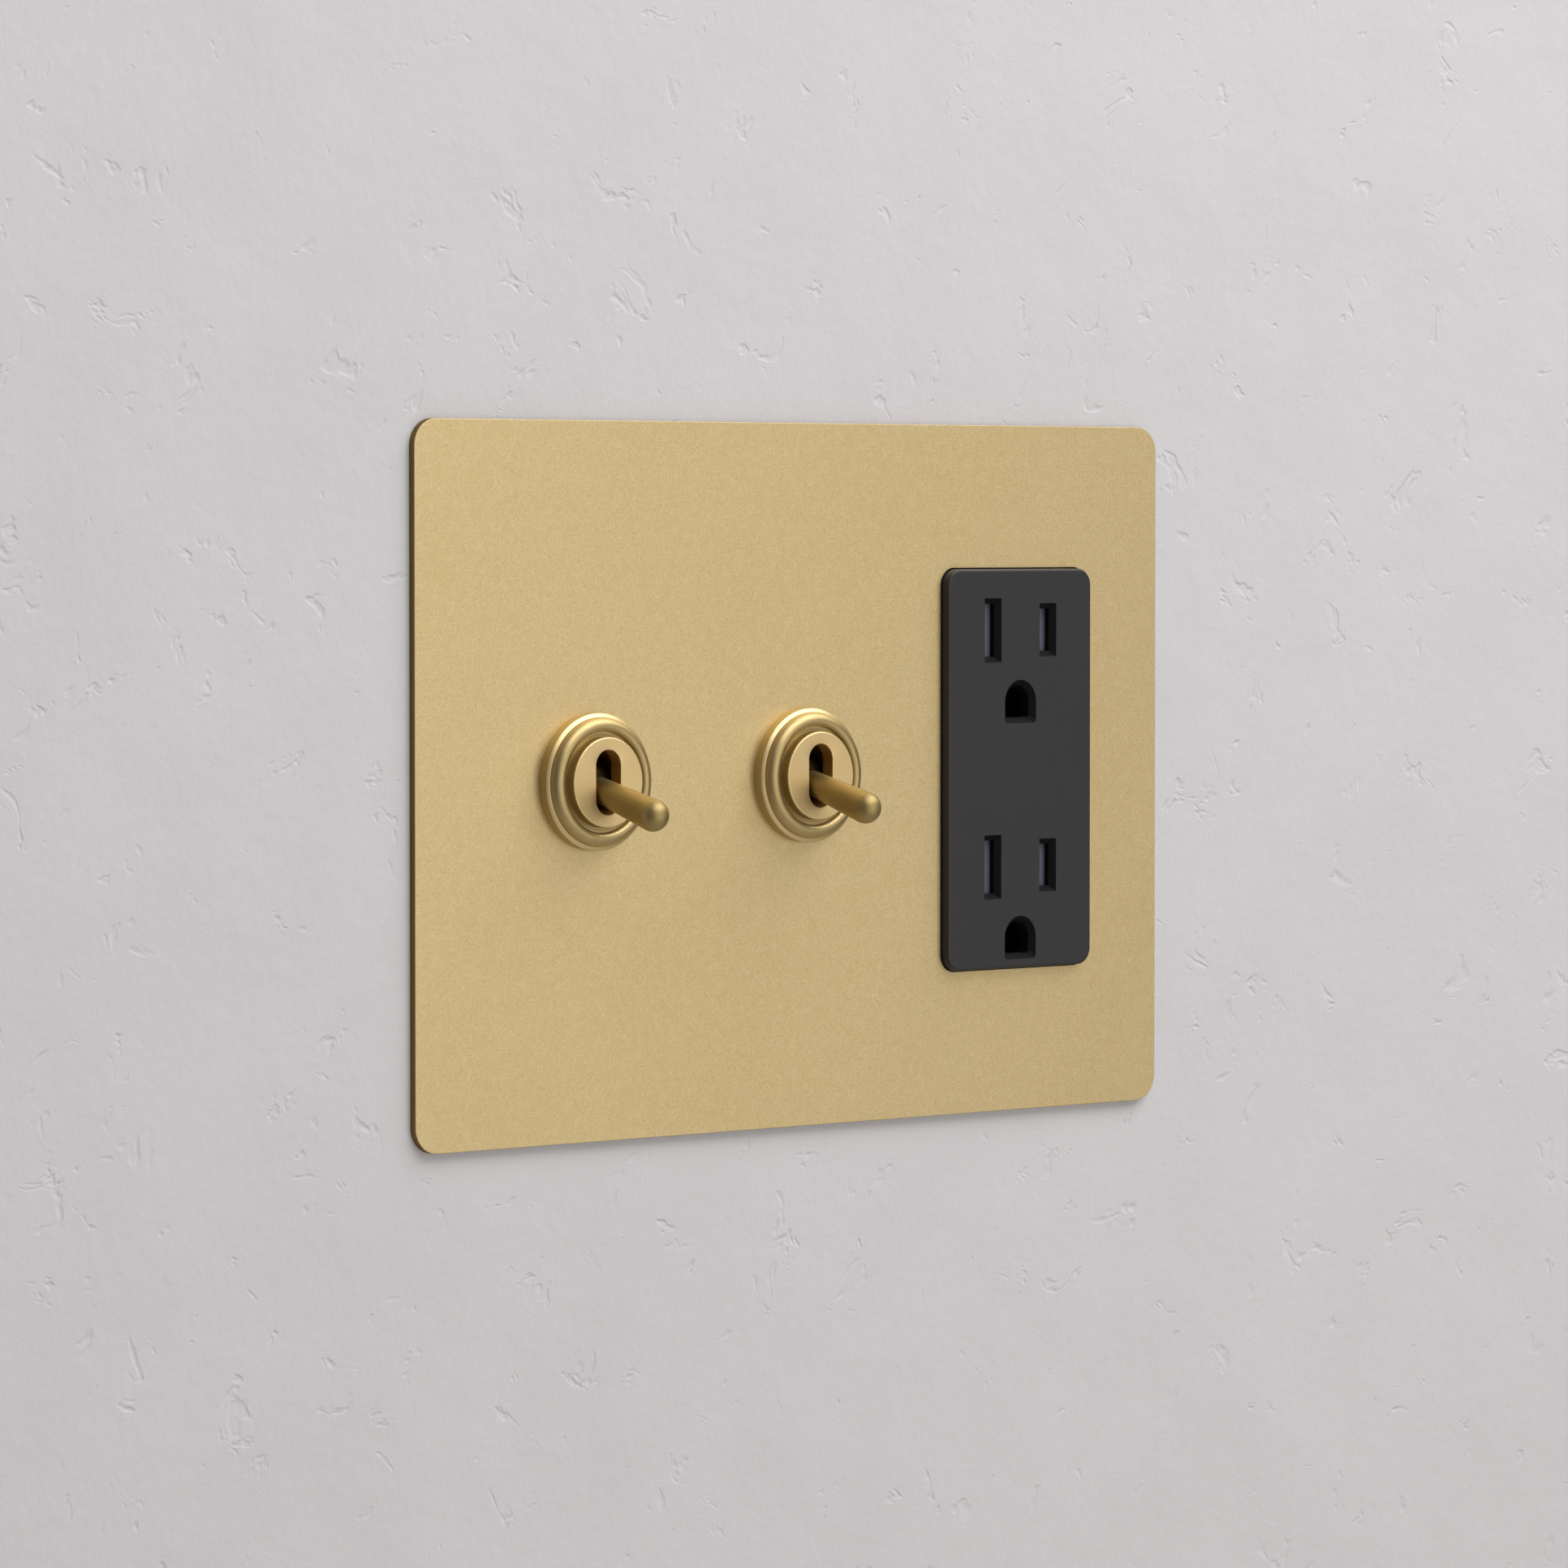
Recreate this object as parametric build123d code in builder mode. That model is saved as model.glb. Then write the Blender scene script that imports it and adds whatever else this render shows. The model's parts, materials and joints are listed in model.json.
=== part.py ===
from build123d import *

import os
from math import cos, radians, sin

os.makedirs("parts", exist_ok=True)

# Three gang wall plate with two toggle switches and one twin socket outlet.
# X runs across the plate, Z is up, and the room is on the -Y side.
# A height is measured towards the room, from the seat where the device straps meet the wall box.

# ---- driving dimensions, in millimetres ----
gang = 46.04  # spacing of two neighbouring devices
box_screw_rise = 41.67  # from the centre line to a wall box screw
frame_screw_rise = 48.42  # from the centre line to a frame screw

strap_t, strap_w, strap_h = 1.2, 38.0, 102.0
frame_t, frame_margin = 1.6, 5.0
plate_w, plate_h, plate_t, plate_corner = 162.0, 114.3, 1.4, 4.3
plate_rim, plate_relief = 4.6, 0.3

ring_r, ring_wall, ring_crest = 10.9, 1.7, 3.5
head_r, head_rise, head_cap = 7.2, 4.2, 2.4
thread_r, neck_r, bore_r = 7.5, 7.0, 5.4
slot_w, slot_h = 5.1, 10.3

throw = 16.0  # toggle lean each side of straight out, in degrees
lever_root_r, ball_r, ball_reach = 2.0, 2.575, 17.66
hub_r, tail_r, tail_len, pin_r = 4.4, 2.5, 11.0, 1.0
plunger_r, plunger_reach = 1.5, 14.5

housing_w, housing_h, housing_d, wall = 27.0, 44.0, 24.0, 2.0
cover_t = 2.2
rocker_back, rocker_lean = 18.5, 8.0  # rocker axis behind the toggle axis, and its lean in degrees

outlet_w, outlet_h, outlet_corner, outlet_proud = 33.1, 66.6, 2.8, 1.65
outlet_wall, outlet_front_t, outlet_split, outlet_depth = 2.0, 3.0, -9.0, -27.0
blade_pitch, outlet_pitch, blade_mid, ground_drop = 12.7, 39.4, 3.4, 11.9
blade_slot_w, neutral_h, hot_h, slot_chamfer = 2.1, 8.9, 7.1, 0.9
ground_w, ground_h = 5.4, 5.4
shutter_travel = 2.8

play = 0.05  # running clearance between a shaft and its hole
off_centre = {"left": 0.9, "middle": 0.2, "right": 1.5}  # each device sits a little off its wall box gang

# ---- heights that follow from them ----
frame_front = strap_t + frame_t
wall_face = frame_front - plate_relief
plate_front = wall_face + plate_t
head_front = plate_front + head_rise
pivot_height = head_front - 6.4
rocker_height = pivot_height - rocker_back
outlet_front = plate_front + outlet_proud

gang_x = {"left": -gang, "middle": 0.0, "right": gang}
toggles = {side: gang_x[side] + off_centre[side] for side in ("left", "middle")}
outlet_x = gang_x["right"] + off_centre["right"]
blade_rows = {"upper": blade_mid + outlet_pitch / 2, "lower": blade_mid - outlet_pitch / 2}


def level(height):
    """Plane that faces the room at a height, with X across and Z up."""
    return Plane.XZ.offset(height)


def section(x, z=0.0):
    """Plane through a front-to-back axis, with the radius across and the height up."""
    return Plane(origin=(x, 0, z), x_dir=(-1, 0, 0), z_dir=(0, 0, 1))


def sideways(x, z=0.0):
    """Plane that faces +X at x, with Z across the sheet and the height up."""
    return Plane(origin=(x, 0, z), x_dir=(0, 0, 1), z_dir=(1, 0, 0))


def leaning(x, height, lean):
    """Plane square to an arm that points to the room and leans down by an angle in degrees."""
    turn = radians(lean)
    return Plane(origin=(x, -height, 0), x_dir=(1, 0, 0), z_dir=(0, -cos(turn), -sin(turn)))


def front_axis(x, z=0.0):
    """Axis from the seat to the room at one place on the plate."""
    return Axis((x, 0, z), (0, -1, 0))


box_screw_places = [(x, z) for x in gang_x.values() for z in (-box_screw_rise, box_screw_rise)]
frame_screw_places = [(x, z) for x in gang_x.values() for z in (-frame_screw_rise, frame_screw_rise)]
toggle_places = [(x, 0) for x in toggles.values()]
strap_screw_places = {side: [(x, z) for z in (-18.0, 18.0)] for side, x in toggles.items()}
stud_places = [(x, z) for x in (-70.5, -22.5, 23.9, 70.5) for z in (-40.0, 40.0)]  # between the straps
rivet_places = [(outlet_x + x, z) for x in (-13.0, 13.0) for z in (-35.9, 35.9)]

# ---- front plate, its studs and the frame behind it ----
with BuildPart() as front_plate:
    with BuildSketch(level(wall_face)):
        RectangleRounded(plate_w, plate_h, plate_corner)
        with Locations(*toggle_places):
            Circle(thread_r + 0.1, mode=Mode.SUBTRACT)
        with Locations((outlet_x, 0)):
            RectangleRounded(outlet_w + 0.5, outlet_h + 0.5, outlet_corner + 0.2, mode=Mode.SUBTRACT)
    extrude(amount=plate_t)
    with BuildSketch(level(wall_face)):
        RectangleRounded(plate_w - 2 * plate_rim, plate_h - 2 * plate_rim, 2.0)
    extrude(amount=plate_relief, mode=Mode.SUBTRACT)
    outline = front_plate.faces().sort_by(Axis.Y)[0].outer_wire().edges()
    chamfer(outline, 0.15)
front_plate.part.label = "front_plate"
export_step(front_plate.part, "parts/front_plate.step")

stud_r, stud_len, grommet_r = 1.5, 6.0, 2.6
with BuildPart() as plate_studs:
    with BuildSketch(level(frame_front)):
        with Locations(*stud_places):
            Circle(stud_r)
    extrude(amount=-stud_len)
plate_studs.part.label = "plate_studs"
export_step(plate_studs.part, "parts/plate_studs.step")

with BuildPart() as stud_grommets:
    with BuildSketch(level(strap_t)):
        with Locations(*stud_places):
            Circle(grommet_r + 0.8)
            Circle(stud_r, mode=Mode.SUBTRACT)
    extrude(amount=-1.0)
    with BuildSketch(level(strap_t)):
        with Locations(*stud_places):
            Circle(grommet_r)
            Circle(stud_r, mode=Mode.SUBTRACT)
    extrude(amount=frame_t - 0.1)
stud_grommets.part.label = "stud_grommets"
export_step(stud_grommets.part, "parts/stud_grommets.step")

box_head_r, box_head_t, box_screw_r, box_screw_len = 3.3, 1.3, 1.75, 22.0
box_neck_r, box_neck_end = 1.5, -0.3  # plain neck through the strap, thread behind it
csk_r, csk_t, frame_screw_r = 2.9, 1.4, 1.45
with BuildPart() as plate_frame:
    with BuildSketch(level(strap_t)):
        RectangleRounded(plate_w - 2 * frame_margin, plate_h - 2 * frame_margin, 1.6)
        with Locations(*toggle_places):
            RectangleRounded(26.0, 46.0, 2.0, mode=Mode.SUBTRACT)
        with Locations((outlet_x, 0)):
            RectangleRounded(outlet_w + 2.0, 77.4, 2.0, mode=Mode.SUBTRACT)
        with Locations(*box_screw_places):
            Circle(box_head_r + 0.8, mode=Mode.SUBTRACT)
        with Locations(*stud_places):
            Circle(grommet_r, mode=Mode.SUBTRACT)
        with Locations(*frame_screw_places):
            Circle(frame_screw_r + play, mode=Mode.SUBTRACT)
    extrude(amount=frame_t)
    for place_x, place_z in frame_screw_places:
        with BuildSketch(section(place_x, place_z)):
            with BuildLine():
                Polyline((0, frame_front - csk_t), (frame_screw_r + play, frame_front - csk_t),
                         (csk_r + play, frame_front), (0, frame_front), close=True)
            make_face()
        revolve(axis=front_axis(place_x, place_z), mode=Mode.SUBTRACT)
plate_frame.part.label = "plate_frame"
export_step(plate_frame.part, "parts/plate_frame.step")

with BuildPart() as frame_screws:
    for place_x, place_z in frame_screw_places:
        with BuildSketch(section(place_x, place_z)):
            with BuildLine():
                Polyline((0, -4.0), (frame_screw_r, -4.0), (frame_screw_r, frame_front - csk_t),
                         (csk_r, frame_front), (0, frame_front), close=True)
            make_face()
        revolve(axis=front_axis(place_x, place_z))
    with BuildSketch(level(frame_front)):
        with Locations(*frame_screw_places):
            Rectangle(4.2, 0.8)
    extrude(amount=-0.7, mode=Mode.SUBTRACT)
frame_screws.part.label = "frame_screws"
export_step(frame_screws.part, "parts/frame_screws.step")

with BuildPart() as box_screws:
    with BuildSketch(level(strap_t)):
        with Locations(*box_screw_places):
            Circle(box_head_r)
    extrude(amount=box_head_t)
    with BuildSketch(level(strap_t)):
        with Locations(*box_screw_places):
            Circle(box_neck_r)
    extrude(amount=box_neck_end - strap_t)
    with BuildSketch(level(box_neck_end)):
        with Locations(*box_screw_places):
            Circle(box_screw_r)
    extrude(amount=-box_screw_len - box_neck_end)
    chamfer(box_screws.faces().sort_by(Axis.Y)[-6:].edges(), 0.4)
    with BuildSketch(level(strap_t + box_head_t)):
        with Locations(*box_screw_places):
            Rectangle(5.0, 0.9)
    extrude(amount=-0.8, mode=Mode.SUBTRACT)
box_screws.part.label = "box_screws"
export_step(box_screws.part, "parts/box_screws.step")

# ---- the two toggle switches ----
pocket_r, pocket_d, neck_end = 11.4, 3.0, -5.2
chamber_w, chamber_h = housing_w - 2 * wall - 1.0, 28.0
rocker_half, saddle_half = 12.5, 5.0
for side, x in toggles.items():
    arm = leaning(x, pivot_height, throw)
    arm_axis = Axis(arm.origin, arm.z_dir)
    arm_section = Plane(origin=arm.origin, x_dir=(1, 0, 0), z_dir=(0, arm.z_dir.Z * -1, arm.z_dir.Y))
    seesaw = leaning(x, rocker_height, -rocker_lean)

    with BuildPart() as ring:
        with BuildSketch(section(x)):
            with BuildLine():
                Polyline((thread_r + play, plate_front), (ring_r, plate_front),
                         (ring_r, plate_front + ring_wall), (ring_r - 0.45, plate_front + ring_wall + 0.25))
                ThreePointArc((ring_r - 0.45, plate_front + ring_wall + 0.25),
                              (ring_r - 0.85, plate_front + ring_crest - 0.5),
                              (ring_r - 1.9, plate_front + ring_crest))
                ThreePointArc((ring_r - 1.9, plate_front + ring_crest),
                              (ring_r - 2.45, plate_front + ring_crest - 0.1),
                              (ring_r - 2.8, plate_front + ring_crest - 0.4))
                Polyline((ring_r - 2.8, plate_front + ring_crest - 0.4),
                         (ring_r - 2.8, plate_front + ring_crest - 1.1),
                         (thread_r + play, plate_front + ring_crest - 1.1),
                         (thread_r + play, plate_front))
            make_face()
        revolve(axis=front_axis(x))
    ring.part.label = f"{side}_ring_nut"
    export_step(ring.part, f"parts/{side}_ring_nut.step")

    with BuildPart() as bush:
        with BuildSketch(section(x)):
            with BuildLine():
                Polyline((bore_r, neck_end), (neck_r, neck_end), (neck_r, strap_t), (10.5, strap_t),
                         (10.5, frame_front), (thread_r, frame_front), (thread_r, plate_front + 2.4),
                         (head_r, plate_front + 2.4), (head_r, head_front - 0.25),
                         (head_r - 0.25, head_front), (0, head_front), (0, head_front - head_cap),
                         (bore_r, head_front - head_cap), close=True)
            make_face()
        revolve(axis=front_axis(x))
        with BuildSketch(level(head_front)):
            with Locations((x, 0)):
                SlotOverall(slot_h, slot_w, rotation=90)
        extrude(amount=-head_cap, mode=Mode.SUBTRACT)
        slot_edge = bush.faces().sort_by(Axis.Y)[0].inner_wires()[0].edges()
        chamfer(slot_edge, 0.2)
        with BuildSketch(sideways(x)):
            with Locations((0, pivot_height)):
                Circle(pin_r)
        extrude(amount=11.0, both=True, mode=Mode.SUBTRACT)
    bush.part.label = f"{side}_toggle_bush"
    export_step(bush.part, f"parts/{side}_toggle_bush.step")

    with BuildPart() as pin:
        with BuildSketch(sideways(x)):
            with Locations((0, pivot_height)):
                Circle(pin_r)
        extrude(amount=6.9, both=True)
    pin.part.label = f"{side}_pivot_pin"
    export_step(pin.part, f"parts/{side}_pivot_pin.step")

    with BuildPart() as toggle:
        hub_tail = (hub_r**2 - tail_r**2) ** 0.5
        hub_neck = (hub_r**2 - lever_root_r**2) ** 0.5
        with BuildSketch(arm_section):
            with BuildLine():
                Polyline((0, -tail_len), (tail_r, -tail_len), (tail_r, -hub_tail))
                ThreePointArc((tail_r, -hub_tail), (hub_r, 0), (lever_root_r, hub_neck))
                Line((lever_root_r, hub_neck), (ball_r, ball_reach))
                ThreePointArc((ball_r, ball_reach),
                              (ball_r * sin(radians(45)), ball_reach + ball_r * cos(radians(45))),
                              (0, ball_reach + ball_r))
                Line((0, ball_reach + ball_r), (0, -tail_len))
            make_face()
        revolve(axis=arm_axis)
        with BuildSketch(arm.offset(-tail_len)):
            Circle(plunger_r + play)
        extrude(amount=tail_len - 4.4, mode=Mode.SUBTRACT)
        with BuildSketch(sideways(x)):
            with Locations((0, pivot_height)):
                Circle(pin_r + play)
        extrude(amount=hub_r + 1, both=True, mode=Mode.SUBTRACT)
    toggle.part.label = f"{side}_toggle"
    export_step(toggle.part, f"parts/{side}_toggle.step")

    with BuildPart() as plunger:
        plunger_len = 6.5
        with BuildSketch(arm_section):
            with BuildLine():
                Polyline((0, plunger_len - plunger_reach), (plunger_r, plunger_len - plunger_reach),
                         (plunger_r, plunger_r - plunger_reach))
                ThreePointArc((plunger_r, plunger_r - plunger_reach),
                              (plunger_r * sin(radians(45)),
                               plunger_r - plunger_reach - plunger_r * cos(radians(45))),
                              (0, -plunger_reach))
                Line((0, -plunger_reach), (0, plunger_len - plunger_reach))
            make_face()
        revolve(axis=arm_axis)
    plunger.part.label = f"{side}_plunger"
    export_step(plunger.part, f"parts/{side}_plunger.step")

    with BuildPart() as spring:
        spring_foot = arm.offset(plunger_len - plunger_reach + 0.25).origin
        with BuildLine() as coil:
            Helix(pitch=0.78, height=3.1, radius=1.2, center=spring_foot, direction=arm.z_dir)
        with BuildSketch(Plane(origin=coil.line @ 0, z_dir=coil.line % 0)):
            Circle(0.2)
        sweep(path=coil.line, is_frenet=True)
    spring.part.label = f"{side}_plunger_spring"
    export_step(spring.part, f"parts/{side}_plunger_spring.step")

    with BuildPart() as strap:
        with BuildSketch(level(0)):
            with Locations((x, 0)):
                RectangleRounded(strap_w, strap_h, 3.0)
                Circle(neck_r + play, mode=Mode.SUBTRACT)
            with Locations(*[(gang_x[side], z) for z in (-box_screw_rise, box_screw_rise)]):
                Circle(box_screw_r + 0.1, mode=Mode.SUBTRACT)
            with Locations(*[(gang_x[side], z) for z in (-frame_screw_rise, frame_screw_rise)]):
                Circle(frame_screw_r + play, mode=Mode.SUBTRACT)
            with Locations(*strap_screw_places[side]):
                Circle(1.5, mode=Mode.SUBTRACT)
        extrude(amount=strap_t)
    strap.part.label = f"{side}_strap"
    export_step(strap.part, f"parts/{side}_strap.step")

    with BuildPart() as strap_screws:
        with BuildSketch(level(strap_t)):
            with Locations(*strap_screw_places[side]):
                Circle(2.7)
        extrude(amount=1.2)
        with BuildSketch(level(strap_t)):
            with Locations(*strap_screw_places[side]):
                Circle(1.45)
        extrude(amount=-9.2)
        with BuildSketch(level(strap_t + 1.2)):
            with Locations(*strap_screw_places[side]):
                Rectangle(4.0, 0.7)
        extrude(amount=-0.6, mode=Mode.SUBTRACT)
    strap_screws.part.label = f"{side}_strap_screws"
    export_step(strap_screws.part, f"parts/{side}_strap_screws.step")

    with BuildPart() as nut:
        with BuildSketch(level(0)):
            with Locations((x, 0)):
                RegularPolygon(radius=9.5, side_count=6, major_radius=False)
                Circle(neck_r + play, mode=Mode.SUBTRACT)
        extrude(amount=-2.6)
    nut.part.label = f"{side}_lock_nut"
    export_step(nut.part, f"parts/{side}_lock_nut.step")

    with BuildPart() as housing:
        with BuildSketch(level(0)):
            with Locations((x, 0)):
                RectangleRounded(housing_w, housing_h, 1.5)
        extrude(amount=-housing_d)
        with BuildSketch(level(0)):
            with Locations((x, 0)):
                Circle(pocket_r)
        extrude(amount=-pocket_d, mode=Mode.SUBTRACT)
        with BuildSketch(level(0)):
            with Locations((x, 0)):
                Circle(neck_r + play)
        extrude(amount=neck_end, mode=Mode.SUBTRACT)
        with BuildSketch(level(neck_end)):
            with Locations((x, 0)):
                RectangleRounded(chamber_w, chamber_h, 1.0)
        extrude(amount=-housing_d - neck_end, mode=Mode.SUBTRACT)
        with BuildSketch(level(0)):
            with Locations(*strap_screw_places[side]):
                Circle(1.5)
        extrude(amount=-9.0, mode=Mode.SUBTRACT)
        with BuildSketch(level(-housing_d)):
            with Locations(*[(x + dx, dz) for dx in (-9.0, 9.0) for dz in (-18.0, 18.0)]):
                Circle(1.15)
        extrude(amount=6.5, mode=Mode.SUBTRACT)
    housing.part.label = f"{side}_housing"
    export_step(housing.part, f"parts/{side}_housing.step")

    blade_t, blade_half_w, line_z, load_z = 1.0, 4.0, -13.0, 13.0
    with BuildPart() as cover:
        with BuildSketch(level(-housing_d)):
            with Locations((x, 0)):
                RectangleRounded(housing_w, housing_h, 1.5)
            with Locations((x, line_z), (x, load_z)):
                Rectangle(2 * blade_half_w + 0.2, blade_t + 0.2, mode=Mode.SUBTRACT)
            with Locations(*[(x + dx, dz) for dx in (-9.0, 9.0) for dz in (-18.0, 18.0)]):
                Circle(1.15, mode=Mode.SUBTRACT)
        extrude(amount=-cover_t)
    cover.part.label = f"{side}_rear_cover"
    export_step(cover.part, f"parts/{side}_rear_cover.step")

    with BuildPart() as cover_screws:
        cover_places = [(x + dx, dz) for dx in (-9.0, 9.0) for dz in (-18.0, 18.0)]
        with BuildSketch(level(-housing_d - cover_t)):
            with Locations(*cover_places):
                Circle(2.1)
        extrude(amount=-1.0)
        with BuildSketch(level(-housing_d - cover_t)):
            with Locations(*cover_places):
                Circle(1.1)
        extrude(amount=8.0)
    cover_screws.part.label = f"{side}_cover_screws"
    export_step(cover_screws.part, f"parts/{side}_cover_screws.step")

    # The seesaw contact: a saddle for the plunger, a copper blade with a button, and two trunnions.
    blade_front, blade_thick, button_t = 2.1, 1.2, 0.8
    saddle_bore_r, saddle_axis = 6.03, 9.88
    with BuildPart() as rocker:
        with BuildSketch(seesaw.offset(blade_front - blade_thick)):
            Rectangle(7.6, 2 * rocker_half)
        extrude(amount=blade_thick)
        with BuildSketch(seesaw.offset(blade_front)):
            Rectangle(4.4, 2 * saddle_half)
        extrude(amount=3.2)
        with BuildSketch(Plane(origin=seesaw.origin, x_dir=seesaw.y_dir, z_dir=(1, 0, 0))):
            with Locations((0, saddle_axis)):
                Circle(saddle_bore_r)
        extrude(amount=4.0, both=True, mode=Mode.SUBTRACT)
        with BuildSketch(seesaw.offset(-1.0)):
            Rectangle(7.6, 3.2)
        extrude(amount=1.0 + blade_front - blade_thick)
        with BuildSketch(sideways(x)):
            with Locations((0, rocker_height)):
                Circle(1.0)
        extrude(amount=6.2, both=True)
        with BuildSketch(seesaw.offset(blade_front - blade_thick)):
            with Locations((0, -10.6)):
                Circle(1.6)
        extrude(amount=-button_t)
    rocker.part.label = f"{side}_contact_rocker"
    export_step(rocker.part, f"parts/{side}_contact_rocker.step")

    inner_floor, tab_end = -housing_d, -33.0
    with BuildPart() as load_terminal:
        with BuildSketch(level(inner_floor)):
            with Locations((x, 5.2)):
                Rectangle(11.4, 16.6)
        extrude(amount=blade_t)
        for ear_x in (-5.2, 5.2):
            with BuildSketch(sideways(x + ear_x)):
                with Locations((0, (inner_floor + rocker_height) / 2)):
                    Rectangle(3.8, rocker_height - inner_floor)
                with Locations((0, rocker_height)):
                    Circle(1.9)
                    Circle(1.0 + play, mode=Mode.SUBTRACT)
            extrude(amount=0.5, both=True)
        with BuildSketch(level(inner_floor + blade_t)):
            with Locations((x, load_z)):
                Rectangle(2 * blade_half_w, blade_t)
        extrude(amount=tab_end - inner_floor - blade_t)
        with BuildSketch(Plane.XY.offset(load_z)):
            with Locations((x, 30.0)):
                Circle(1.5)
        extrude(amount=2.0, both=True, mode=Mode.SUBTRACT)
    load_terminal.part.label = f"{side}_load_terminal"
    export_step(load_terminal.part, f"parts/{side}_load_terminal.step")

    with BuildPart() as line_terminal:
        shelf = rocker_height - 1.95 - button_t
        with BuildSketch(level(shelf)):
            with Locations((x, -11.1)):
                Rectangle(2 * blade_half_w, 4.8)
        extrude(amount=-blade_t)
        with BuildSketch(level(shelf)):
            with Locations((x, line_z)):
                Rectangle(2 * blade_half_w, blade_t)
        extrude(amount=tab_end - shelf)
        with BuildSketch(level(shelf)):
            with Locations((x, -10.6)):
                Circle(1.6)
        extrude(amount=button_t)
        with BuildSketch(Plane.XY.offset(line_z)):
            with Locations((x, 30.0)):
                Circle(1.5)
        extrude(amount=2.0, both=True, mode=Mode.SUBTRACT)
    line_terminal.part.label = f"{side}_line_terminal"
    export_step(line_terminal.part, f"parts/{side}_line_terminal.step")

    with BuildPart() as terminal_screws:
        for blade_z, outward in ((line_z, -1), (load_z, 1)):
            with BuildSketch(Plane.XY.offset(blade_z + outward * 1.4)):
                with Locations((x, 30.0)):
                    Circle(2.9)
            extrude(amount=outward * 1.6)
            with BuildSketch(Plane.XY.offset(blade_z + outward * 1.4)):
                with Locations((x, 30.0)):
                    Circle(1.45)
            extrude(amount=outward * -4.4)
            with BuildSketch(Plane.XY.offset(blade_z + outward * 3.0)):
                with Locations((x, 30.0)):
                    Rectangle(4.4, 0.8)
            extrude(amount=outward * -0.7, mode=Mode.SUBTRACT)
    terminal_screws.part.label = f"{side}_terminal_screws"
    export_step(terminal_screws.part, f"parts/{side}_terminal_screws.step")

# ---- the twin socket outlet ----
flange_w, flange_h, flange_t = 37.0, 76.0, 2.0
inner_w, inner_h = outlet_w - 2 * outlet_wall, outlet_h - 2 * outlet_wall
post_r, post_x, post_z = 2.2, 13.6, 30.2
post_places = [(outlet_x + dx, dz) for dx in (-post_x, post_x) for dz in (-post_z, post_z)]
side_notch_h, side_notch_d, terminal_z = 12.0, 10.0, (-9.0, 15.0)

with BuildPart() as outlet_strap:
    with BuildSketch(level(0)):
        with Locations((outlet_x, 0)):
            RectangleRounded(strap_w, strap_h, 3.0)
            RectangleRounded(outlet_w + 0.3, outlet_h + 0.3, outlet_corner, mode=Mode.SUBTRACT)
        with Locations(*[(gang_x["right"], z) for z in (-box_screw_rise, box_screw_rise)]):
            Circle(box_screw_r + 0.1, mode=Mode.SUBTRACT)
        with Locations(*[(gang_x["right"], z) for z in (-frame_screw_rise, frame_screw_rise)]):
            Circle(frame_screw_r + play, mode=Mode.SUBTRACT)
        with Locations(*rivet_places):
            Circle(1.25, mode=Mode.SUBTRACT)
    extrude(amount=strap_t)
outlet_strap.part.label = "outlet_strap"
export_step(outlet_strap.part, "parts/outlet_strap.step")

with BuildPart() as strap_rivets:
    with BuildSketch(level(strap_t)):
        with Locations(*rivet_places):
            Circle(1.9)
    extrude(amount=0.6)
    with BuildSketch(level(strap_t)):
        with Locations(*rivet_places):
            Circle(1.2)
    extrude(amount=-strap_t - flange_t)
    with BuildSketch(level(-flange_t)):
        with Locations(*rivet_places):
            Circle(1.9)
    extrude(amount=-0.6)
strap_rivets.part.label = "strap_rivets"
export_step(strap_rivets.part, "parts/strap_rivets.step")

with BuildPart() as outlet_face:
    with BuildSketch(level(outlet_split)):
        with Locations((outlet_x, 0)):
            RectangleRounded(outlet_w, outlet_h, outlet_corner)
    extrude(amount=outlet_front - outlet_split)
    rim_edges = outlet_face.faces().sort_by(Axis.Y)[0].edges()
    fillet(rim_edges, 0.5)
    with BuildSketch(level(-flange_t)):
        with Locations((outlet_x, 0)):
            RectangleRounded(flange_w, flange_h, 3.0)
    extrude(amount=flange_t)
    with BuildSketch(level(outlet_split)):
        with Locations((outlet_x, 0)):
            RectangleRounded(inner_w, inner_h, 1.0)
    extrude(amount=outlet_front - outlet_front_t - outlet_split, mode=Mode.SUBTRACT)
    with BuildSketch(level(outlet_split)):
        with Locations(*post_places):
            Circle(post_r)
    extrude(amount=outlet_front - outlet_front_t - outlet_split)
    for row_z in blade_rows.values():
        with BuildSketch(level(outlet_front)) as apertures:
            with Locations((outlet_x - blade_pitch / 2, row_z)):
                Rectangle(blade_slot_w, neutral_h)
            with Locations((outlet_x + blade_pitch / 2, row_z)):
                Rectangle(blade_slot_w, hot_h)
            with Locations((outlet_x, row_z - ground_drop)):
                Circle(ground_w / 2)
            with Locations((outlet_x, row_z - ground_drop - ground_h / 4)):
                Rectangle(ground_w, ground_h / 2)
        extrude(amount=-outlet_front_t, mode=Mode.SUBTRACT)
    mouths = outlet_face.faces().sort_by(Axis.Y)[0].inner_wires()
    for mouth in mouths:
        chamfer(mouth.edges(), slot_chamfer)
    with BuildSketch(level(outlet_split)):
        with Locations(*post_places):
            Circle(1.15)
    extrude(amount=8.5, mode=Mode.SUBTRACT)
    with BuildSketch(level(-flange_t)):
        with Locations(*rivet_places):
            Circle(1.25)
    extrude(amount=flange_t, mode=Mode.SUBTRACT)
outlet_face.part.label = "outlet_face"
export_step(outlet_face.part, "parts/outlet_face.step")

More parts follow.
